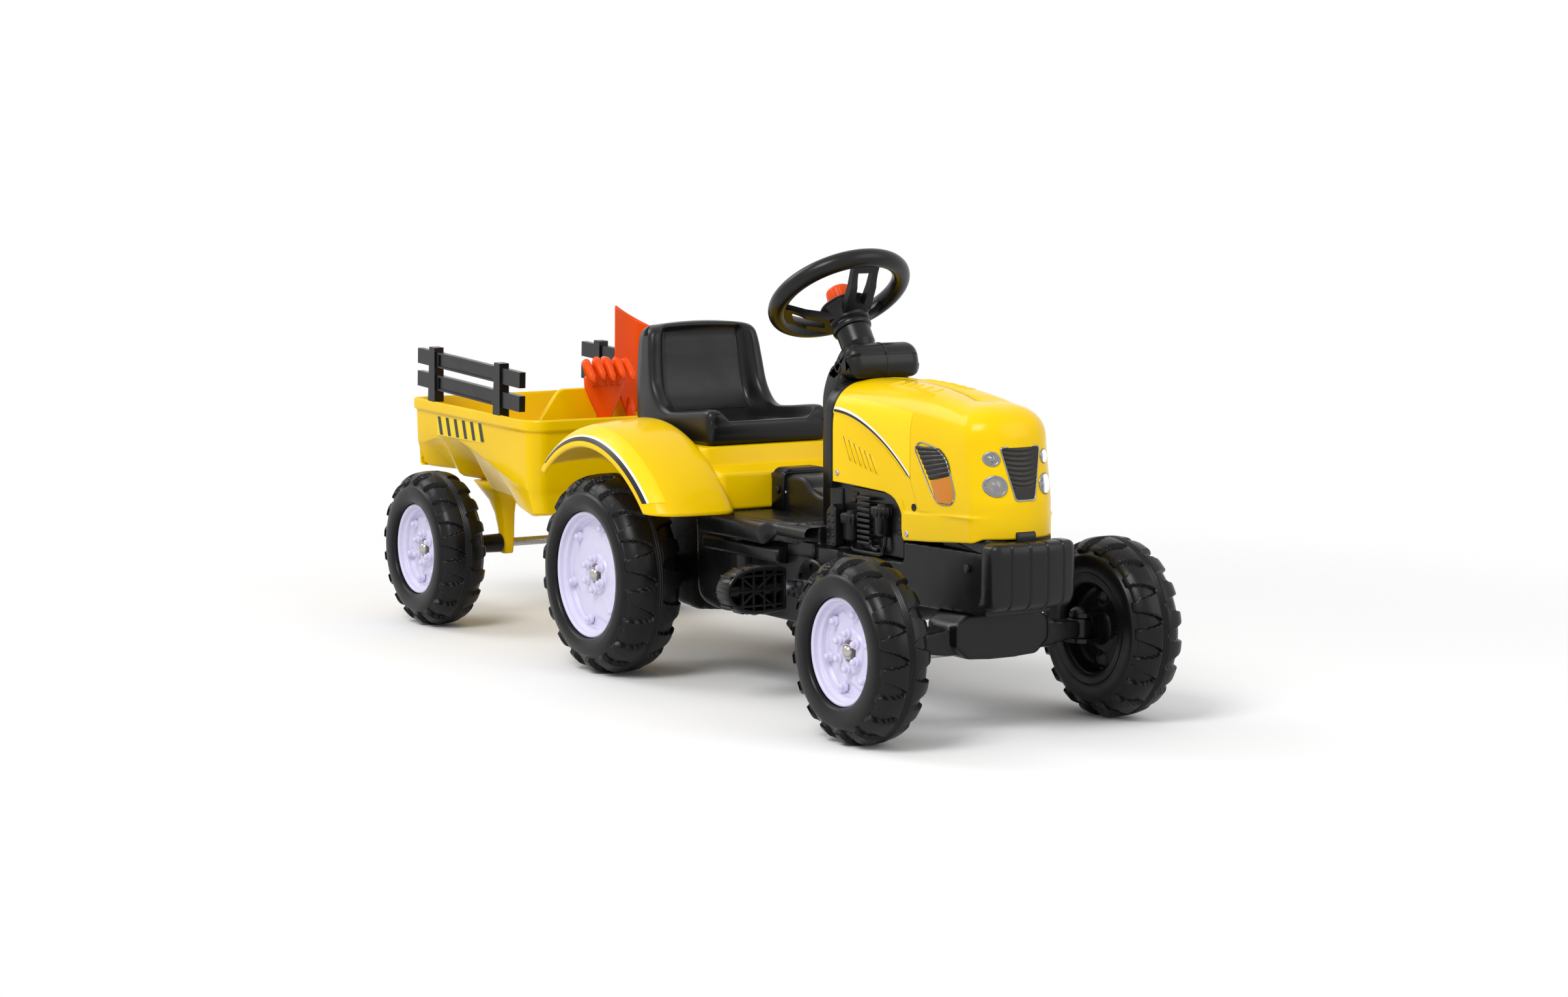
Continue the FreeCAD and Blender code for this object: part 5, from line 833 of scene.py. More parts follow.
def lamp_outline(grow):
    """Outline of the side lamp in x and z, grown outwards by a margin."""
    base = corners([(529, 322, 7), (539, 331, 8), (571, 325, 16), (587, 314, 10), (604, 275, 8), (597, 263.5, 8),
                    (575, 263, 8), (565, 269, 8)])
    middle = Vector((566, 297))
    return [tuple(Vector(p) + (Vector(p) - middle).normalized() * grow) for p in base]


def lamp_rows(sign, upper):
    """Rows of a side lamp from its slanted split: up the dark panel, or down the amber lens."""
    rows = []
    for t in spread(0, 1, 57):
        belly = math.sin(math.pi * t)
        if upper:
            left = Vector((558, 288)).lerp(Vector((530, 326)), t)
            right = Vector((595.5, 296.5)).lerp(Vector((573, 326)), t) + Vector((5.0, 3.0)) * belly ** 0.8
        else:
            left = Vector((558.6, 287)).lerp(Vector((569, 264)), t)
            right = Vector((596, 295.5)).lerp(Vector((599, 264.5)), t) + Vector((4.0, 0.0)) * belly
        row = []
        for s in spread(0, 1, 15):
            # ribs run across the panel and down the lens
            rib = 1.35 * abs(math.sin(math.pi * 7 * t)) if upper else 0.6 + 0.63 * abs(math.sin(math.pi * 6 * s))
            row.append(on_bonnet(*left.lerp(right, s), sign, 1.2 * (1 - (2 * s - 1) ** 2) + rib))
        rows.append(row)
    return rows


class TRACTOR_OT_lamps(bpy.types.Operator):
    """Side lamps with a silver edge, a dark panel and an amber lens"""
    bl_idname = "tractor.lamps"
    bl_label = "Side lamps"

    def execute(self, context):
        for sign, side in SIDES:
            rings = [[on_bonnet(x, z, sign, proud) for x, z in lamp_outline(grow)]
                     for grow, proud in ((1.6, -0.4), (1.5, 1.2), (0.6, 1.7), (-0.1, 1.3), (-0.3, -0.5))]
            item = sheet_of(f"lamp_trim_{side}", rings, closed_rows=True)
            dress(facing(item, sign < 0), "tractor", "silver_trim")
            for name, finish, upper, node in (("lamp_panel", "grille_plastic", True, "lamp_panels"),
                                              ("indicator", "amber_lens", False, "indicator_lenses")):
                item = facing(sheet_of(f"{name}_{side}", lamp_rows(sign, upper)), (sign < 0) == upper)
                dress(item, "tractor", finish, *([node] if sign < 0 else []))
        return {"FINISHED"}


class TRACTOR_OT_bumper(bpy.types.Operator):
    """The grooved weight block on the nose"""
    bl_idname = "tractor.bumper"
    bl_label = "Bumper"

    def execute(self, context):
        back, half, grooves = 650.4, 58.0, (-35.0, -11.0, 13.0, 36.0)
        rows = []
        for y in spread(-half, half, 155):
            bow = 37.3 - (y / half) ** 2 * 7
            close = max(0.0, (abs(y) - 47) / 11.01)
            shrink = math.sqrt(1 - close ** 2)
            dip = max((1 - step(0.3, 2.0, abs(y - g))) for g in grooves) * 1.8
            wide = bow / 2 - dip - 8 * (1 - shrink)
            tall = 39.0 - (1 - shrink) * 9 - dip
            row = []
            for a in circle(56):
                c, s = math.cos(a), math.sin(a)
                # the lower front edge draws back under the block
                x = back + bow / 2 + wide * squared(c, 0.4) - (9 * s * s if s < 0 else 0.0)
                row.append(place(max(x, back), y, 187.0 + tall * squared(s, 0.34)))
            rows.append(row)
        item = facing(sheet_of("front_bumper_skin", rows, closed_rows=True, caps=True), True)
        dress(item, "tractor", "black_plastic", "front_bumper")
        # the top of the frame under the bonnet's front edge, and the catch that holds the bonnet down
        shelf = corners([(560, 205, 2), (560, 227, 2), (650, 229, 5), (650, 205, 2)], 4)
        catch = corners([(646, 222, 1.5), (646, 236, 1.5), (662, 236, 2), (664, 231, 2), (664, 222, 1.5)], 4)
        parts = [pressed("shelf", shelf, -45, 45, 4), pressed("catch", catch, -13, 13, 1.5)]
        dress(joined("bonnet_catch", parts), "tractor", "black_plastic")
        return {"FINISHED"}


# rows of the seat from its front lip to the top of its back: foot, top of the side and middle of the hollow,
# each as x and z, and the half width
SEAT_ROWS = ((110, 304, 110, 322, 110, 315, 78), (109, 297, 109, 329, 109, 319, 82),
             (106.5, 293, 106.5, 333, 106.5, 320.5, 85.5), (102, 291.3, 102, 335, 102, 320.5, 87.5),
             (94, 291.2, 94, 335.6, 94, 319, 88), (80, 291.2, 80, 334.5, 80, 317, 88),
             (60, 291.2, 60, 332.5, 60, 315, 88), (40, 291.2, 40, 330.5, 40, 314, 88),
             (20, 291.2, 21, 329, 20, 314, 88), (3, 291.2, 6, 328.5, 2, 315, 88), (-14, 291.2, -6, 331, -16, 318, 88),
             (-32, 291.2, -16, 336, -32, 324, 88), (-50, 291.2, -25, 344, -44, 333, 88),
             (-64, 292, -32, 353, -51, 344, 87.7), (-74, 297, -37, 363, -55, 356, 87.2),
             (-79, 310, -40, 374, -57.5, 368, 86.5), (-81, 330, -42.5, 386, -59.5, 382, 85.7),
             (-82.5, 355, -44.5, 398, -61, 396, 84.7), (-83.2, 380, -46, 410, -62.5, 409, 83.5),
             (-83.8, 400, -47.5, 419, -63.5, 419, 82.2), (-84, 414, -49.5, 426, -62, 426.5, 80.8),
             (-83.6, 422, -53, 430.5, -59, 431, 79), (-82, 429, -58, 433.6, -60, 434, 76),
             (-79, 433, -64, 435.3, -64, 435.5, 71), (-75, 435.6, -70, 436, -70, 436, 66))


def seat_section(foot_x, foot_z, side_x, side_z, middle_x, middle_z, half):
    """One closed section across the seat: sides, bolsters and the hollow between them."""
    foot, side = Vector((foot_x, 0, foot_z)), Vector((side_x, 0, side_z))
    middle = Vector((middle_x, 0, middle_z))
    tall = (side - foot).length
    edge = min(9.0, 0.4 * tall)
    line = [(lean - half, foot.lerp(side, share))
            for lean, share in ((4, 0.0), (0.6, 0.1), (0, 0.45), (0.3, 0.75))]
    for k in range(7):
        a = math.radians(90 * k / 6)
        line.append((0.3 - half + edge * (1 - math.cos(a)), foot.lerp(side, 1 - edge * (1 - math.sin(a)) / tall)))
    inner = half - edge - 1
    for k in range(1, 29):
        y = inner * (k / 28 - 1)
        line.append((y, side.lerp(middle, step(0.84, 0.66, abs(y) / half))))
    line += [(-y, spot) for y, spot in reversed(line[:-1])]
    # the top edge of the back rises a little towards its middle
    crown = 4.0 * step(380, 432, middle_z)
    return [place(spot.x, y, spot.z - crown * (y / half) ** 2) for y, spot in line]


class TRACTOR_OT_seat(bpy.types.Operator):
    """The black bucket seat and the grained panel in its back"""
    bl_idname = "tractor.seat"
    bl_label = "Seat"

    def execute(self, context):
        table = smooth_line(SEAT_ROWS, 120)
        item = sheet_of("seat_shell", [seat_section(*row) for row in table], closed_rows=True, caps=True)
        dress(item, "tractor", "black_plastic", "seat")
        grained = []
        for foot_x, foot_z, side_x, side_z, middle_x, middle_z, half in table:
            if middle_x < -30 and middle_z < 424:
                out = Vector((middle_x - foot_x, middle_z - foot_z)).normalized() * 0.5
                grained.append([place(middle_x + out.x, y, middle_z + out.y)
                                for y in spread(-0.62 * half, 0.62 * half, 25)])
        dress(sheet_of("seat_panel", grained), "tractor", "seat_grain")
        return {"FINISHED"}


# section of a fender from its outer hem over the top to the seat plinth, as y and radius about the rear axle
FENDER = ((202.5, 160.5), (204.3, 161.5), (205, 164), (204.6, 168), (202, 172.5), (197.5, 177.8), (190, 183.3),
          (182, 187), (172, 189.4), (158, 191.5), (140, 193), (122, 194), (108, 193.6), (100, 191), (95, 186),
          (92, 178), (90.5, 166), (90, 150))


def on_fender(y, radius, share, sign, proud=0.0):
    """A point of the rear fender: share runs from the rear end over the top to the flat front hem."""
    end = math.asin(91.5 / radius)
    start = math.radians(137 - 4 * step(185, 160, radius))
    angle = start + (end - start) * share
    x = (radius + proud) * math.cos(angle)
    # the front of the arch runs further forward than a circle round the axle
    x *= 1 + 0.11 * max(0.0, math.cos(angle) / 0.85) ** 2
    return place(x, sign * (y + 0.6 * proud), 126 + (radius + proud) * math.sin(angle))


class TRACTOR_OT_rear_body(bpy.types.Operator):
    """Fenders with their stripes and the stepped wall between them"""
    bl_idname = "tractor.rear_body"
    bl_label = "Rear body"

    def execute(self, context):
        profile = smooth_line(FENDER, 60)
        band = smooth_line([(204.6, 168.5), (202, 172.5), (197.5, 177.8), (190, 183.3), (184, 186.2)], 20)
        for sign, side in SIDES:
            rows = [[on_fender(y, r, share, sign) for y, r in profile] for share in spread(0, 1, 91)]
            item = walled(facing(sheet_of(f"fender_{side}", rows), sign < 0), 3.0)
            dress(item, "tractor", "yellow_plastic", *(["rear_body"] if sign < 0 else []))
            for name, finish, part, proud in (("film", "film", band[6:], 0.4), ("white", "ink_white", band[4:7], 0.5),
                                              ("black", "ink_black", band[:5], 0.5)):
                rows = [[on_fender(y, r, share, sign, proud) for y, r in part] for share in spread(0.05, 0.95, 71)]
                dress(facing(sheet_of(f"fender_{name}_{side}", rows), sign > 0), "tractor", finish)
        outline = corners([(-78, 240, 12), (-78, 290.5, 6), (116, 290.5, 4), (123, 268, 3), (157, 261.5, 5),
                           (167, 217, 5), (60, 216, 8)])
        dress(pressed("seat_plinth", outline, -101, 101, 9), "tractor", "yellow_plastic")
        return {"FINISHED"}


class TRACTOR_OT_dash(bpy.types.Operator):
    """The black tower behind the bonnet with its rounded head"""
    bl_idname = "tractor.dash"
    bl_label = "Dash"

    def execute(self, context):
        outline = corners([(-55, 215.5), (55, 215.5), (56, 370, 12), (49, 394, 14), (41, 406, 8), (-41, 406, 8),
                           (-49, 394, 14), (-56, 370, 12)], 6)
        tower = pressed("tower", outline, 318.5, 351.5, 6, "X")
        outline = corners([(351, 389), (378, 391, 6), (381, 410, 22), (372, 430, 20), (350, 432.5, 20), (331, 413, 14),
                           (320, 388, 10), (330, 380)], 8)
        head = pressed("head", outline, -50, 50, 15, parts=8)
        # the moulding seam over the middle of the head and the raised eye at each end
        proud = [(350 + (x - 350) * 1.02, 406 + (z - 406) * 1.03) for x, z in outline]
        parts = [tower, head, pressed("seam", proud, -1.6, 1.6, 0.8)]
        eye = ((44, 7.5), (50.2, 7.2), (50.8, 6.2), (50.2, 5.2), (49, 4.6), (49, 0.02))
        for sign, side in SIDES:
            profile = [(sign * along, radius) for along, radius in eye]
            parts.append(facing(turned("eye", profile, 28, place(346, 0, 404)), sign < 0))
        dress(joined("dash_tower", parts), "tractor", "black_plastic", "dash_cowl")
        return {"FINISHED"}


class TRACTOR_OT_face(bpy.types.Operator):
    """Grille and headlamps on the bonnet's face"""
    bl_idname = "tractor.face"
    bl_label = "Grille and headlamps"

    def execute(self, context):
        edge = corners([(-27, 331, 5), (27, 331, 5), (13, 271.5, 4), (-13, 271.5, 4)])
        middle = Vector((0, 303))
        rings = []
        for grow, proud in ((1.0, -0.3), (0.9, 1.3), (0.0, 1.5), (-0.9, 1.0), (-1.0, 0.0)):
            rings.append([on_face(*(Vector(p) + (Vector(p) - middle).normalized() * grow), proud) for p in edge])
        dress(sheet_of("grille_trim", rings, closed_rows=True), "tractor", "silver_trim")
        rows = []
        for t in spread(0, 1, 81):
            half = 12.4 + (26.2 - 12.4) * t
            row = []
            for s in spread(-1, 1, 25):
                # eight curved slats above a plain foot
                wave = (t - 0.24) / 0.76 * 8 - 0.5 * s * s
                slat = 1.1 * abs(math.sin(math.pi * wave)) ** 0.6 if t > 0.24 else 0.6
                row.append(on_face(half * s, 272 + 58.5 * t, 0.1 + slat))
            rows.append(row)
        dress(sheet_of("grille_slats", rows), "tractor", "grille_plastic", "grille")
        glass, bowls, rims = [], [], []
        for sign, side in SIDES:
            for y, z, radius in ((34, 288, 12), (36, 318.5, 8.2)):
                def ring(distance, proud, wave=0.0):
                    return [on_face(sign * y + distance * math.sin(a), z + distance * math.cos(a),
                                    proud + wave * math.cos(24 * a)) for a in circle(48)]
                rims.append([ring(radius + d, h)
                             for d, h in ((0.2, -0.3), (0.1, 1.2), (-0.9, 1.6), (-1.8, 1.1), (-2.0, 0.3))])
                # fluted reflector with a plain boss in its middle
                bowls.append([ring(radius * share, proud, 0.6 if 0.35 < share < 0.9 else 0.0) for share, proud in
                              ((0.86, 0.7), (0.62, 0.5), (0.36, 0.35), (0.3, 1.1), (0.16, 1.5), (0.02, 1.6))])
                glass.append([ring(radius * share, 1.4 + 1.2 * (1 - share ** 2))
                              for share in (0.88, 0.7, 0.5, 0.3, 0.15, 0.01)])
        for name, grids, finish, nodes in (("rims", rims, "silver_trim", []), ("bowls", bowls, "silver_trim", []),
                                           ("glass", glass, "clear_lens", ["headlamps"])):
            parts = [sheet_of(name, grid, closed_rows=True) for grid in grids]
            dress(joined(f"headlamp_{name}", parts), "tractor", finish, *nodes)
        return {"FINISHED"}


def claw_finger(root, knuckle, tip, width):
    """A bent finger of the rake as a rounded bar through three points, thinner towards its tip."""
    bend = tuple(Vector(root) * 0.45 + Vector(knuckle) * 0.55)
    line = smooth_line([root, bend, knuckle, tip], 18)
    shares = [1 - 0.25 * i / 17 for i in range(16)] + [0.47, 0.22]
    return tube("finger", line, [width * share for share in shares], 10)


class TRACTOR_OT_tools(bpy.types.Operator):
    """The orange rake and shovel in the trailer"""
    bl_idname = "tractor.tools"
    bl_label = "Rake and shovel"

    def execute(self, context):
        # the rake: five fingers on a palm that widens from the handle
        rake_x, rake_y = -283, -20
        parts = []
        for k in range(5):
            y = -50 + 15 * k
            root = (rake_x, rake_y + (y - rake_y) * 0.55, 338)
            knuckle = (-280 + 2 * (k % 2), y, 368 + 5 * math.sin(math.pi * (k + 1) / 6))
            parts.append(claw_finger(root, knuckle, (-256, y + 1, 345 + 3 * (k % 2)), 6.8))
        palm = []
        for t, half, z in ((0, 7, 252), (0.25, 7.5, 280), (0.45, 12, 300), (0.65, 22, 318), (0.85, 30, 336),
                           (1, 31, 348), (1.05, 28, 353)):
            depth = 7.2 - 1.5 * t
            palm.append([place(rake_x + depth * squared(math.cos(a), 0.7), rake_y + half * squared(math.sin(a), 0.7), z)
                         for a in circle(28)])
        parts.append(sheet_of("palm", palm, closed_rows=True, caps=True))
        grip = [(rake_x, rake_y, z) for z in (186.5, 187.5, 192, 230, 255)]
        parts.append(tube("handle", grip, [5, 6.8, 7.2, 7.2, 7.2], 20))
        dress(joined("rake_claw", parts), "rake", "orange_plastic", "rake")
        # the shovel: a hollow blade with a slanted top edge
        blade = []
        for t in spread(0, 1, 29):
            half = 28 * min(1.0, (0.28 + 2.4 * t)) if t < 0.4 else 28.0 - 1.5 * (t - 0.4)
            row = []
            for s in spread(-1, 1, 25):
                top = 1 - 0.2 * (1 + s) / 2 * step(0.55, 1.0, t)
                row.append(place(-302.5 + 7.5 * s * s * step(0.0, 0.5, t), 32 + half * s, 298 + 146 * t * top))
            blade.append(row)
        dress(walled(sheet_of("shovel_blade", blade), 3.0, 0.0), "shovel", "orange_plastic", "shovel")
        grip = [(-300, 30, z) for z in (186.5, 187.5, 192, 250, 300, 318)]
        handle = tube("shovel_handle", grip, [5, 6.5, 6.9, 6.9, 6.9, 3.5], 20)
        dress(handle, "shovel", "orange_plastic")
        return {"FINISHED"}


class TRACTOR_OT_steering(bpy.types.Operator):
    """The flared hub below the spokes of the steering wheel, with the collar of the column sleeve"""
    bl_idname = "tractor.steering"
    bl_label = "Steering hub"

    def execute(self, context):
        # along the column from the wheel's plane, and radius; the ring stays clear of the horn knob inside it
        ring = [(-54, 21.1), (-53, 23.4), (-51, 24.2), (-47, 24.2), (-45, 23.2), (-43.5, 22.6), (-42, 24.4),
                (-34, 25.6), (-27, 28), (-22, 30), (-19, 30.6), (-17.4, 29.8), (-17, 28.4), (-18, 24), (-21, 20.4),
                (-30, 20), (-54, 21.1)]
        hub = turned("steering_hub", ring, 72, Vector(), "Z")
        lean = math.radians(-35.6)
        hub.data.transform(Matrix.Translation(place(271, 0, 486)) @ Matrix.Rotation(lean, 4, "Y"))
        dress(crisp(hub, 40), "steering", "black_plastic")
        return {"FINISHED"}


class TRACTOR_OT_pedals(bpy.types.Operator):
    """Pedals with a webbed face and a treaded edge"""
    bl_idname = "tractor.pedals"
    bl_label = "Pedals"

    def execute(self, context):
        # each pedal stands upright on its crank pin, square at its inner end and round at its outer end
        shape = corners([(105, 113, 6), (105, 165, 6), (158, 169, 24), (188, 153, 20), (188, 125, 20),
                         (158, 109, 24)], 14)
        edge = ((-13.8, 4.6), (-13.8, 1.6), (-12.6, 0.3), (-11, 0.0), (11, 0.0), (12.6, 0.3), (13.8, 1.6),
                (13.8, 4.6), (9, 5.2), (-9, 5.2))
        pin_z, thin = 139, 1.3
        for side, sign, x in (("left", 1, 389.0), ("right", -1, 307.0)):
            rows = []
            for depth, amount in edge:
                row = []
                for k, (y, z) in enumerate(inset(shape, amount)):
                    block = 0.9 if k % 4 < 2 and amount < 0.1 and y > 120 else 0.0
                    out = Vector((y - 140, z - pin_z)).normalized() * block
                    row.append(place(x + depth, sign * (y + out.x), z + out.y))
                rows.append(row)
            parts = [sheet_of("rim", rows, closed_rows=True, closed_columns=True)]
            for y in (120, 135, 150, 165):
                rib = [(x - 10, 112), (x + 12, 112), (x + 12, 166), (x - 10, 166)]
                parts.append(pressed("rib", rib, *span(sign, y - thin, y + thin), 0.4))
            for z in (121, 139, 157):
                web = [(x - 10, sign * 108), (x + 12.5, sign * 108), (x + 12.5, sign * 183), (x - 10, sign * 183)]
                parts.append(pressed("web", web, z - thin, z + thin, 0.4, "Z"))
            for slope in (-1, 1):
                way = Vector((26.0, slope * 22.0))
                across = Vector((-way.y, way.x)).normalized() * thin
                spots = [Vector((146, pin_z)) + a * way + b * across for a, b in ((-1, -1), (1, -1), (1, 1), (-1, 1))]
                parts.append(pressed("brace", [(sign * p.x, p.y) for p in spots], x - 8, x + 11.5, 0.4, "X"))
            parts.append(pressed("plate", [(sign * y, z) for y, z in inset(shape, 3)], x - 8, x - 5, 0.5, "X"))
            parts.append(tube("sleeve", [(x, sign * 104, pin_z), (x, sign * 183, pin_z)], 9.0, 24))
            dress(crisp(joined(f"pedal_{side}_webbed", parts)), f"pedal_{side}", "black_plastic", f"pedal_{side}")
        return {"FINISHED"}


def foot_deck(sign):
    """One side of the foot deck: fine ribs along the toy, then the rolled outer edge."""
    rows = []
    for x in spread(118, 352, 49):
        # the deck draws in where the cranks and pedals turn
        near = step(262, 284, x)
        edge = 102 - 10 * near
        row = []
        for y in spread(30, edge, 60):
            ribbed = 38 < y < 87 and 150 < x < 345
            rib = 0.9 * max(0.0, math.sin(2 * math.pi * (y - 38) / 7.0)) if ribbed else 0.0
            row.append(place(x, sign * y, 214 + rib))
        for k in range(1, 13):
            a = math.radians(15 * k)
            row.append(place(x, sign * (edge + 8 * math.sin(a)), 214 - (14 - 6 * near) * (1 - math.cos(a))))
        rows.append(row)
    return facing(sheet_of("deck", rows), sign > 0)


class TRACTOR_OT_deck(bpy.types.Operator):
    """The moulded black chassis: rounded shell, ribbed foot deck, tunnel and sills"""
    bl_idname = "tractor.deck"
    bl_label = "Chassis"

    def execute(self, context):
        rounded("chassis", 2.4, 8)
        rounded("axle_beam", 2.0, 22)
        pillar = corners([(368, 194, 4), (368, 236, 3), (379, 246, 4), (388, 240, 3), (388, 194, 4)], 4)
        rivet = ((0, 2.0), (0.8, 1.8), (1.3, 1.0), (1.4, 0.02))
        for sign, side in SIDES:
            parts = [foot_deck(sign)]
            for low_x, high_x, z, reach in ((112, 290, 174, 101), (290, 352, 186, 87.5)):
                sill = corners([(sign * 84, z - 10), (sign * reach, z - 9, 8), (sign * reach, z + 9, 8),
                                (sign * 84, z + 10)], 6)
                parts.append(pressed("sill", sill, low_x, high_x, 4, "X"))
            parts.append(pressed("pillar", pillar, *span(sign, 66, 80), 2))
            for k in range(5):
                for x in (373, 383):
                    parts.append(set_on_side(turned("rivet", rivet, 12, place(x, 0, 199 + 8.4 * k)), sign, 80))
            # hexagon heads on the nose and on the tunnel
            for x, y, z in ((619, 49.5, 193), (186, 34, 241)):
                head = corners([(x + 5.4 * math.cos(a), z + 5.4 * math.sin(a), 0.8) for a in circle(6)], 2)
                parts.append(pressed("bolt", head, *span(sign, y - 4, y + 3.4), 1.2))
            dress(joined(f"deck_{side}", parts), "tractor", "black_plastic")
        # the gearbox barrel in front of the rear wheels
        barrel = corners([(88, 96, 24), (84, 208, 10), (196, 208, 14), (206, 150, 40), (196, 94, 30),
                          (140, 88, 50)], 10)
        dress(pressed("gearbox_barrel", barrel, -97, 97, 14), "tractor", "black_plastic")
        back = corners([(-34, 212), (-34, 260, 7), (-26, 268, 6), (26, 268, 6), (34, 260, 7), (34, 212)], 6)
        hump = corners([(192, 212), (192, 258, 6), (206, 262, 8), (238, 262, 12), (262, 243, 16), (318, 240),
                        (318, 212)], 8)
        parts = [pressed("tunnel_back", back, 168.5, 197, 3, "X"), pressed("tunnel_hump", hump, -30, 30, 7)]
        dress(joined("tunnel_cover", parts), "tractor", "black_plastic")
        return {"FINISHED"}


class TRACTOR_OT_engine(bpy.types.Operator):
    """The moulded engine shapes below the bonnet"""
    bl_idname = "tractor.engine"
    bl_label = "Engine relief"

    def execute(self, context):
        plate = corners([(372, 192, 4), (372, 268, 3), (470, 266, 4), (492, 259, 8), (504, 244, 8), (506, 192, 4)], 4)
        pipes = (((408, 67, 199), (408, 69, 195), (414, 69, 193), (450, 69, 193), (468, 69, 194), (474, 68, 199),
                  (475, 66, 216), (477, 64, 244)),
                 ((446, 67, 212), (447, 68, 203), (452, 68, 199), (462, 68, 198)),
                 ((378, 63, 262), (379, 64, 240), (383, 64, 214), (390, 63, 200)))

        def fluted(k, angle, along, radial):
            return along, radial + (0.7 * math.cos(18 * angle) if 14 < radial < 15 else 0.0)

        def block(name, low_x, low_z, high_x, high_z, radius, edge, low_y, high_y):
            spots = ((low_x, low_z), (low_x, high_z), (high_x, high_z), (high_x, low_z))
            outline = corners([(x, z, radius) for x, z in spots], 3)
            return pressed(name, outline, *span(sign, low_y, high_y), edge)
        for sign, side in SIDES:
            parts = [pressed("plate", plate, *span(sign, 50, 61), 2)]
            for x, low, high in ((404, 204, 236), (469, 216, 250)):
                profile = [(low - 3, 0.02), (low - 3, 4), (low, 9), (low + 3, 12), (high - 12, 12.3),
                           (high - 11, 14.6), (high - 2, 14.6), (high, 13.4), (high + 0.5, 8), (high + 3, 7),
                           (high + 3, 0.02)]
                parts.append(turned("canister", profile, 72, place(x, sign * 65, 0), "Z", fluted))
            for k in range(9):
                z = 202 + 6.6 * k
                parts.append(block("fin", 422, z, 449, z + 4, 1.5, 1.2, 54, 72))
            for line in pipes:
                parts.append(tube("pipe", smooth_line([(x, sign * y, z) for x, y, z in line], 26), 2.6))
            for x, z in ((498, 222), (498, 236), (400, 250), (404, 258)):
                parts.append(block("boss", x - 5, z - 3, x + 5, z + 3, 2, 1.5, 52, 63))
            dress(joined(f"engine_{side}", parts), "tractor", "black_plastic",
                  *(["engine_relief"] if sign < 0 else []))
        return {"FINISHED"}


# heights along the trailer tub by x: rim, crease and lower edge, and how far the wall tucks in below the crease
RIM_HIGH = ((-631, 303), (-560, 301.5), (-440, 299), (-330, 296.5), (-268, 296))
CREASE = ((-631, 237), (-605, 241), (-570, 249), (-535, 253), (-500, 252.5), (-465, 246), (-420, 233), (-370, 219),
          (-320, 206), (-285, 199), (-268, 199))
TUB_LOW = ((-631, 211), (-606, 209), (-560, 203), (-500, 193), (-430, 183), (-360, 174), (-310, 168), (-268, 171))
TUCK = ((-631, 0.15), (-612, 0.3), (-585, 0.85), (-545, 0.45), (-505, 1), (-460, 0.5), (-410, 0.7), (-350, 0.4),
        (-300, 0.25), (-268, 0.15))


def tub_corner(x, y, radius, ahead, side, steps):
    """A round corner of the tub's rim from a side to an end wall, as points with their outward directions."""
    turns = [math.radians(90 * i / steps) for i in range(1, steps)]
    ways = [(ahead * math.sin(a), side * math.cos(a)) for a in turns]
    return [(x + radius * out_x, y + radius * out_y, out_x, out_y) for out_x, out_y in ways]


def tub_ring():
    """Plan of the trailer tub's rim from its right side round the front, as points with outward directions."""
    front, back, half = -268, -631, 139
    front_round, back_round = 28, 9
    low_x, high_x = back + back_round, front - front_round
    front_y, back_y = half - front_round, half - back_round
    ring = [(x, -half, 0, -1) for x in spread(low_x, high_x, 72)]
    ring += tub_corner(high_x, -front_y, front_round, 1, -1, 12)
    ring += [(front, y, 1, 0) for y in spread(-front_y, front_y, 49)]
    ring += reversed(tub_corner(high_x, front_y, front_round, 1, 1, 12))
    ring += [(x, half, 0, 1) for x in spread(high_x, low_x, 72)]
    ring += tub_corner(low_x, back_y, back_round, -1, 1, 8)
    ring += [(back, y, -1, 0) for y in spread(back_y, -back_y, 41)]
    ring += reversed(tub_corner(low_x, -back_y, back_round, -1, -1, 8))
    return ring


def tub_row(x, y, out_x, out_y):
    """Section of the tub's wall from the floor up the inside, over the rolled rim and down the outside."""
    top, low = between(RIM_HIGH, x), between(TUB_LOW, x)
    side = abs(out_y)
    crease = between(CREASE, x) * side + (200 if x > -400 else 236) * (1 - side)
    tuck = between(TUCK, x) * side
    bed = low + 7
    # depth below the rim's outer edge, and height
    line = [(9.5 + 1.05 * tuck * (crease - bed), bed), (9.5 + 2.6 * tuck, crease - 2.5), (8.6, crease),
            (7, top - 14), (5.6, top - 3), (4.2, top - 0.6), (2.6, top), (1.0, top - 0.6), (0.1, top - 2.4),
            (0, top - 5), (0, top - 13), (0.8, top - 15), (3.2, top - 16), (4.0, top - 18), (4.6, crease + 18),
            (5.2, crease + 3), (5.8, crease), (6.5 + 2.6 * tuck, crease - 2.5)]
    line += [(6.5 + 1.05 * tuck * (crease - z), z) for z in spread(crease - 2.5, low, 7)[1:]]
    line.append((line[-1][0] + 6, low - 4))
    return [place(x - out_x * depth, y - out_y * depth, z) for depth, z in line]


def trailer_leg(sign):
    """One leg of the trailer, flared towards the tub and ribbed down its sides."""
    rows = []
    for z, half_x, half_y, y in ((91, 6.5, 7, 63), (93, 8, 8, 63), (110, 9.5, 9, 63), (128, 11, 10, 64),
                                 (148, 14, 12, 66), (166, 20, 16, 69), (180, 28, 22, 73), (193, 36, 27, 77)):
        row = []
        for a in circle(32):
            c, s = math.cos(a), math.sin(a)
            rib = 1.6 * step(0.965, 0.995, abs(c)) * (1 - step(100, 92, z))
            row.append(place(-490 + half_x * squared(s, 0.6), sign * y + (half_y + rib) * squared(c, 0.6), z))
        rows.append(row)
    return sheet_of("leg", rows, closed_rows=True, caps=True)


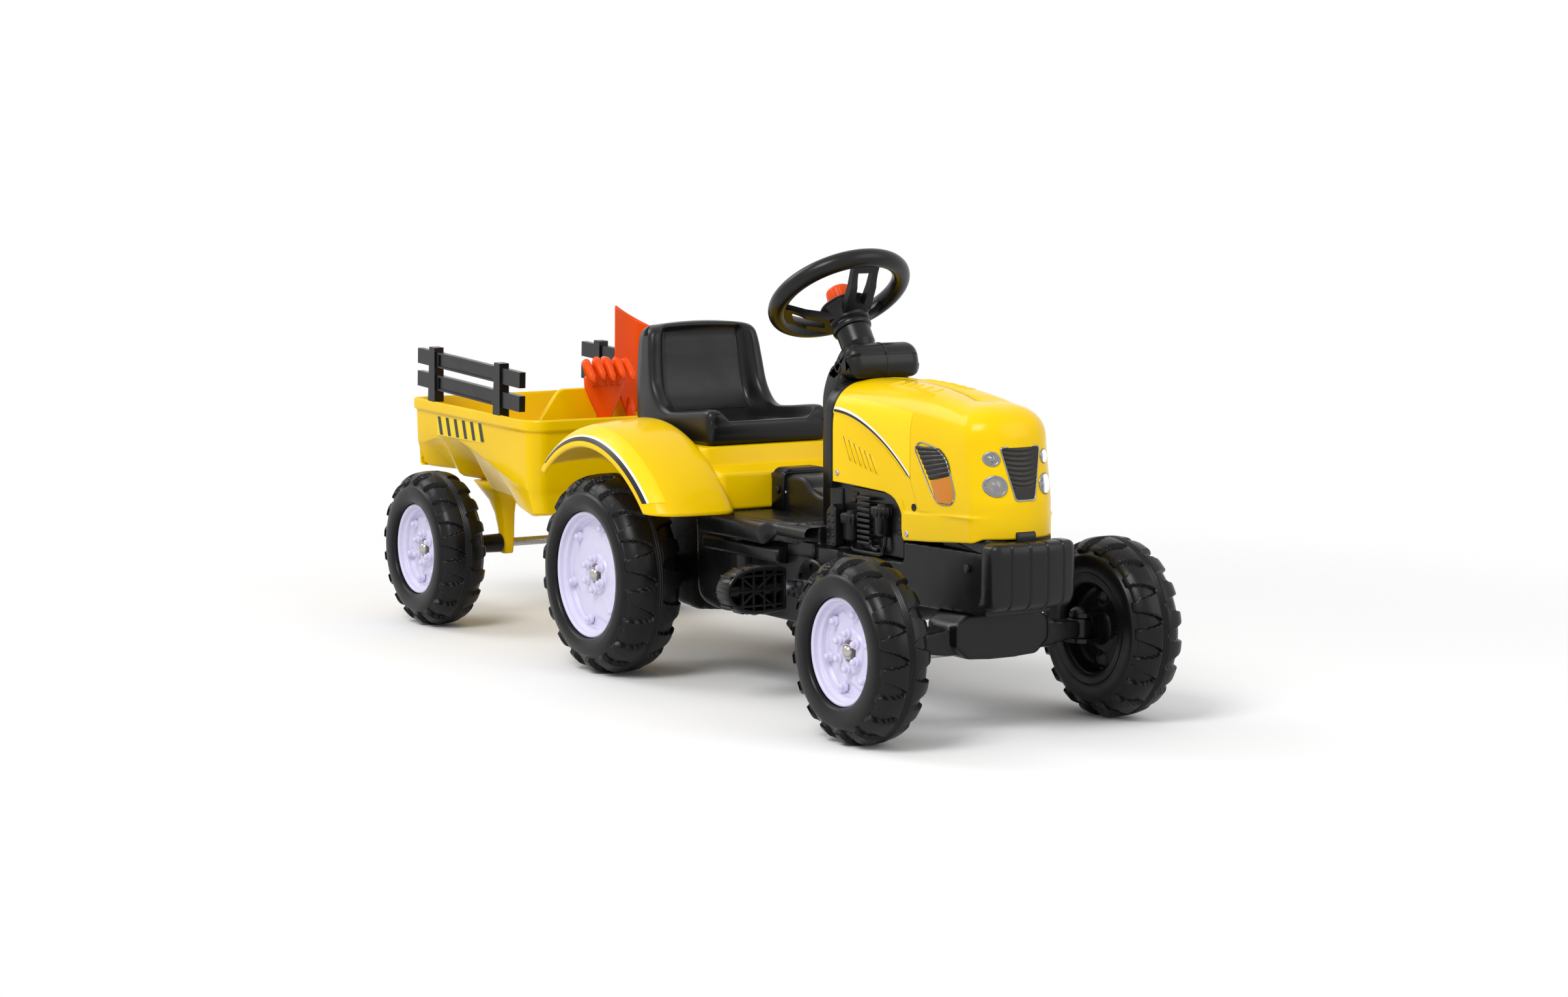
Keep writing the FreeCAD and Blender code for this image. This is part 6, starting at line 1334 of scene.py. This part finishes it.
class TRACTOR_OT_trailer(bpy.types.Operator):
    """The trailer's tub with its rolled rim, faceted arches, legs and hazard stripes"""
    bl_idname = "tractor.trailer"
    bl_label = "Trailer"

    def execute(self, context):
        tub = sheet_of("trailer_tub_shell", [tub_row(*spot) for spot in tub_ring()], closed_columns=True, ends=True)
        dress(crisp(tub, 19), "trailer", "yellow_plastic", "trailer_tub")
        for sign, side in SIDES:
            # the film lies on the wall below the rim, and the stripes on the film
            face = sign * 135.0
            rows = [[place(x, face, z) for x in (-560, -530, -500, -470, -440, -421)] for z in (254.5, 268, 281.5)]
            dress(facing(sheet_of(f"trailer_film_{side}", rows), sign > 0), "trailer", "film")
            stripes = []
            for k in range(6):
                rows = []
                for z in (281, 270, 256):
                    x = -557 + 25 * k + 8 * (281 - z) / 26
                    rows.append([place(x + 9, face + sign * 0.25, z), place(x, face + sign * 0.25, z)])
                stripes.append(sheet_of("stripe", rows))
            dress(joined(f"trailer_stripes_{side}", stripes), "trailer", "ink_black")
        # the headboard behind the tools: they stand in the slot between it and the front wall
        board = corners([(-96, 172), (-108, 284, 8), (-72, 333, 9), (72, 333, 9), (108, 284, 8), (96, 172)], 6)
        parts = [trailer_leg(sign) for sign, side in SIDES] + [pressed("headboard", board, -322, -314, 3, "X")]
        dress(joined("trailer_legs", parts), "trailer", "yellow_plastic")
        return {"FINISHED"}


class TRACTOR_PT_panel(bpy.types.Panel):
    """Buttons for each group of pieces"""
    bl_idname = "TRACTOR_PT_panel"
    bl_label = "Pedal tractor"
    bl_space_type = "VIEW_3D"
    bl_region_type = "UI"
    bl_category = "Tractor"

    def draw(self, context):
        for item in PIECES:
            self.layout.operator(item.bl_idname)


PIECES = (TRACTOR_OT_finishes, TRACTOR_OT_tyres, TRACTOR_OT_rims, TRACTOR_OT_bonnet,
          TRACTOR_OT_lamps, TRACTOR_OT_bumper, TRACTOR_OT_seat, TRACTOR_OT_rear_body,
          TRACTOR_OT_dash, TRACTOR_OT_face, TRACTOR_OT_tools, TRACTOR_OT_steering, TRACTOR_OT_pedals,
          TRACTOR_OT_deck, TRACTOR_OT_engine, TRACTOR_OT_trailer, TRACTOR_OT_stage)
CLASSES = (TractorColours, TractorSizes, TractorStage) + PIECES + (TRACTOR_PT_panel,)


def register():
    """Register the classes and hang the settings on the scene."""
    for item in CLASSES:
        bpy.utils.register_class(item)
    bpy.types.Scene.tractor_colours = PointerProperty(type=TractorColours)
    bpy.types.Scene.tractor_sizes = PointerProperty(type=TractorSizes)
    bpy.types.Scene.tractor_stage = PointerProperty(type=TractorStage)


def unregister():
    """Take the settings and classes away again."""
    del bpy.types.Scene.tractor_stage
    del bpy.types.Scene.tractor_sizes
    del bpy.types.Scene.tractor_colours
    for item in reversed(CLASSES):
        bpy.utils.unregister_class(item)


def main():
    """Build every piece in order."""
    register()
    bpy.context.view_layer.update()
    for item in PIECES:
        group, name = item.bl_idname.split(".")
        getattr(getattr(bpy.ops, group), name)()


if __name__ == "__main__":
    main()
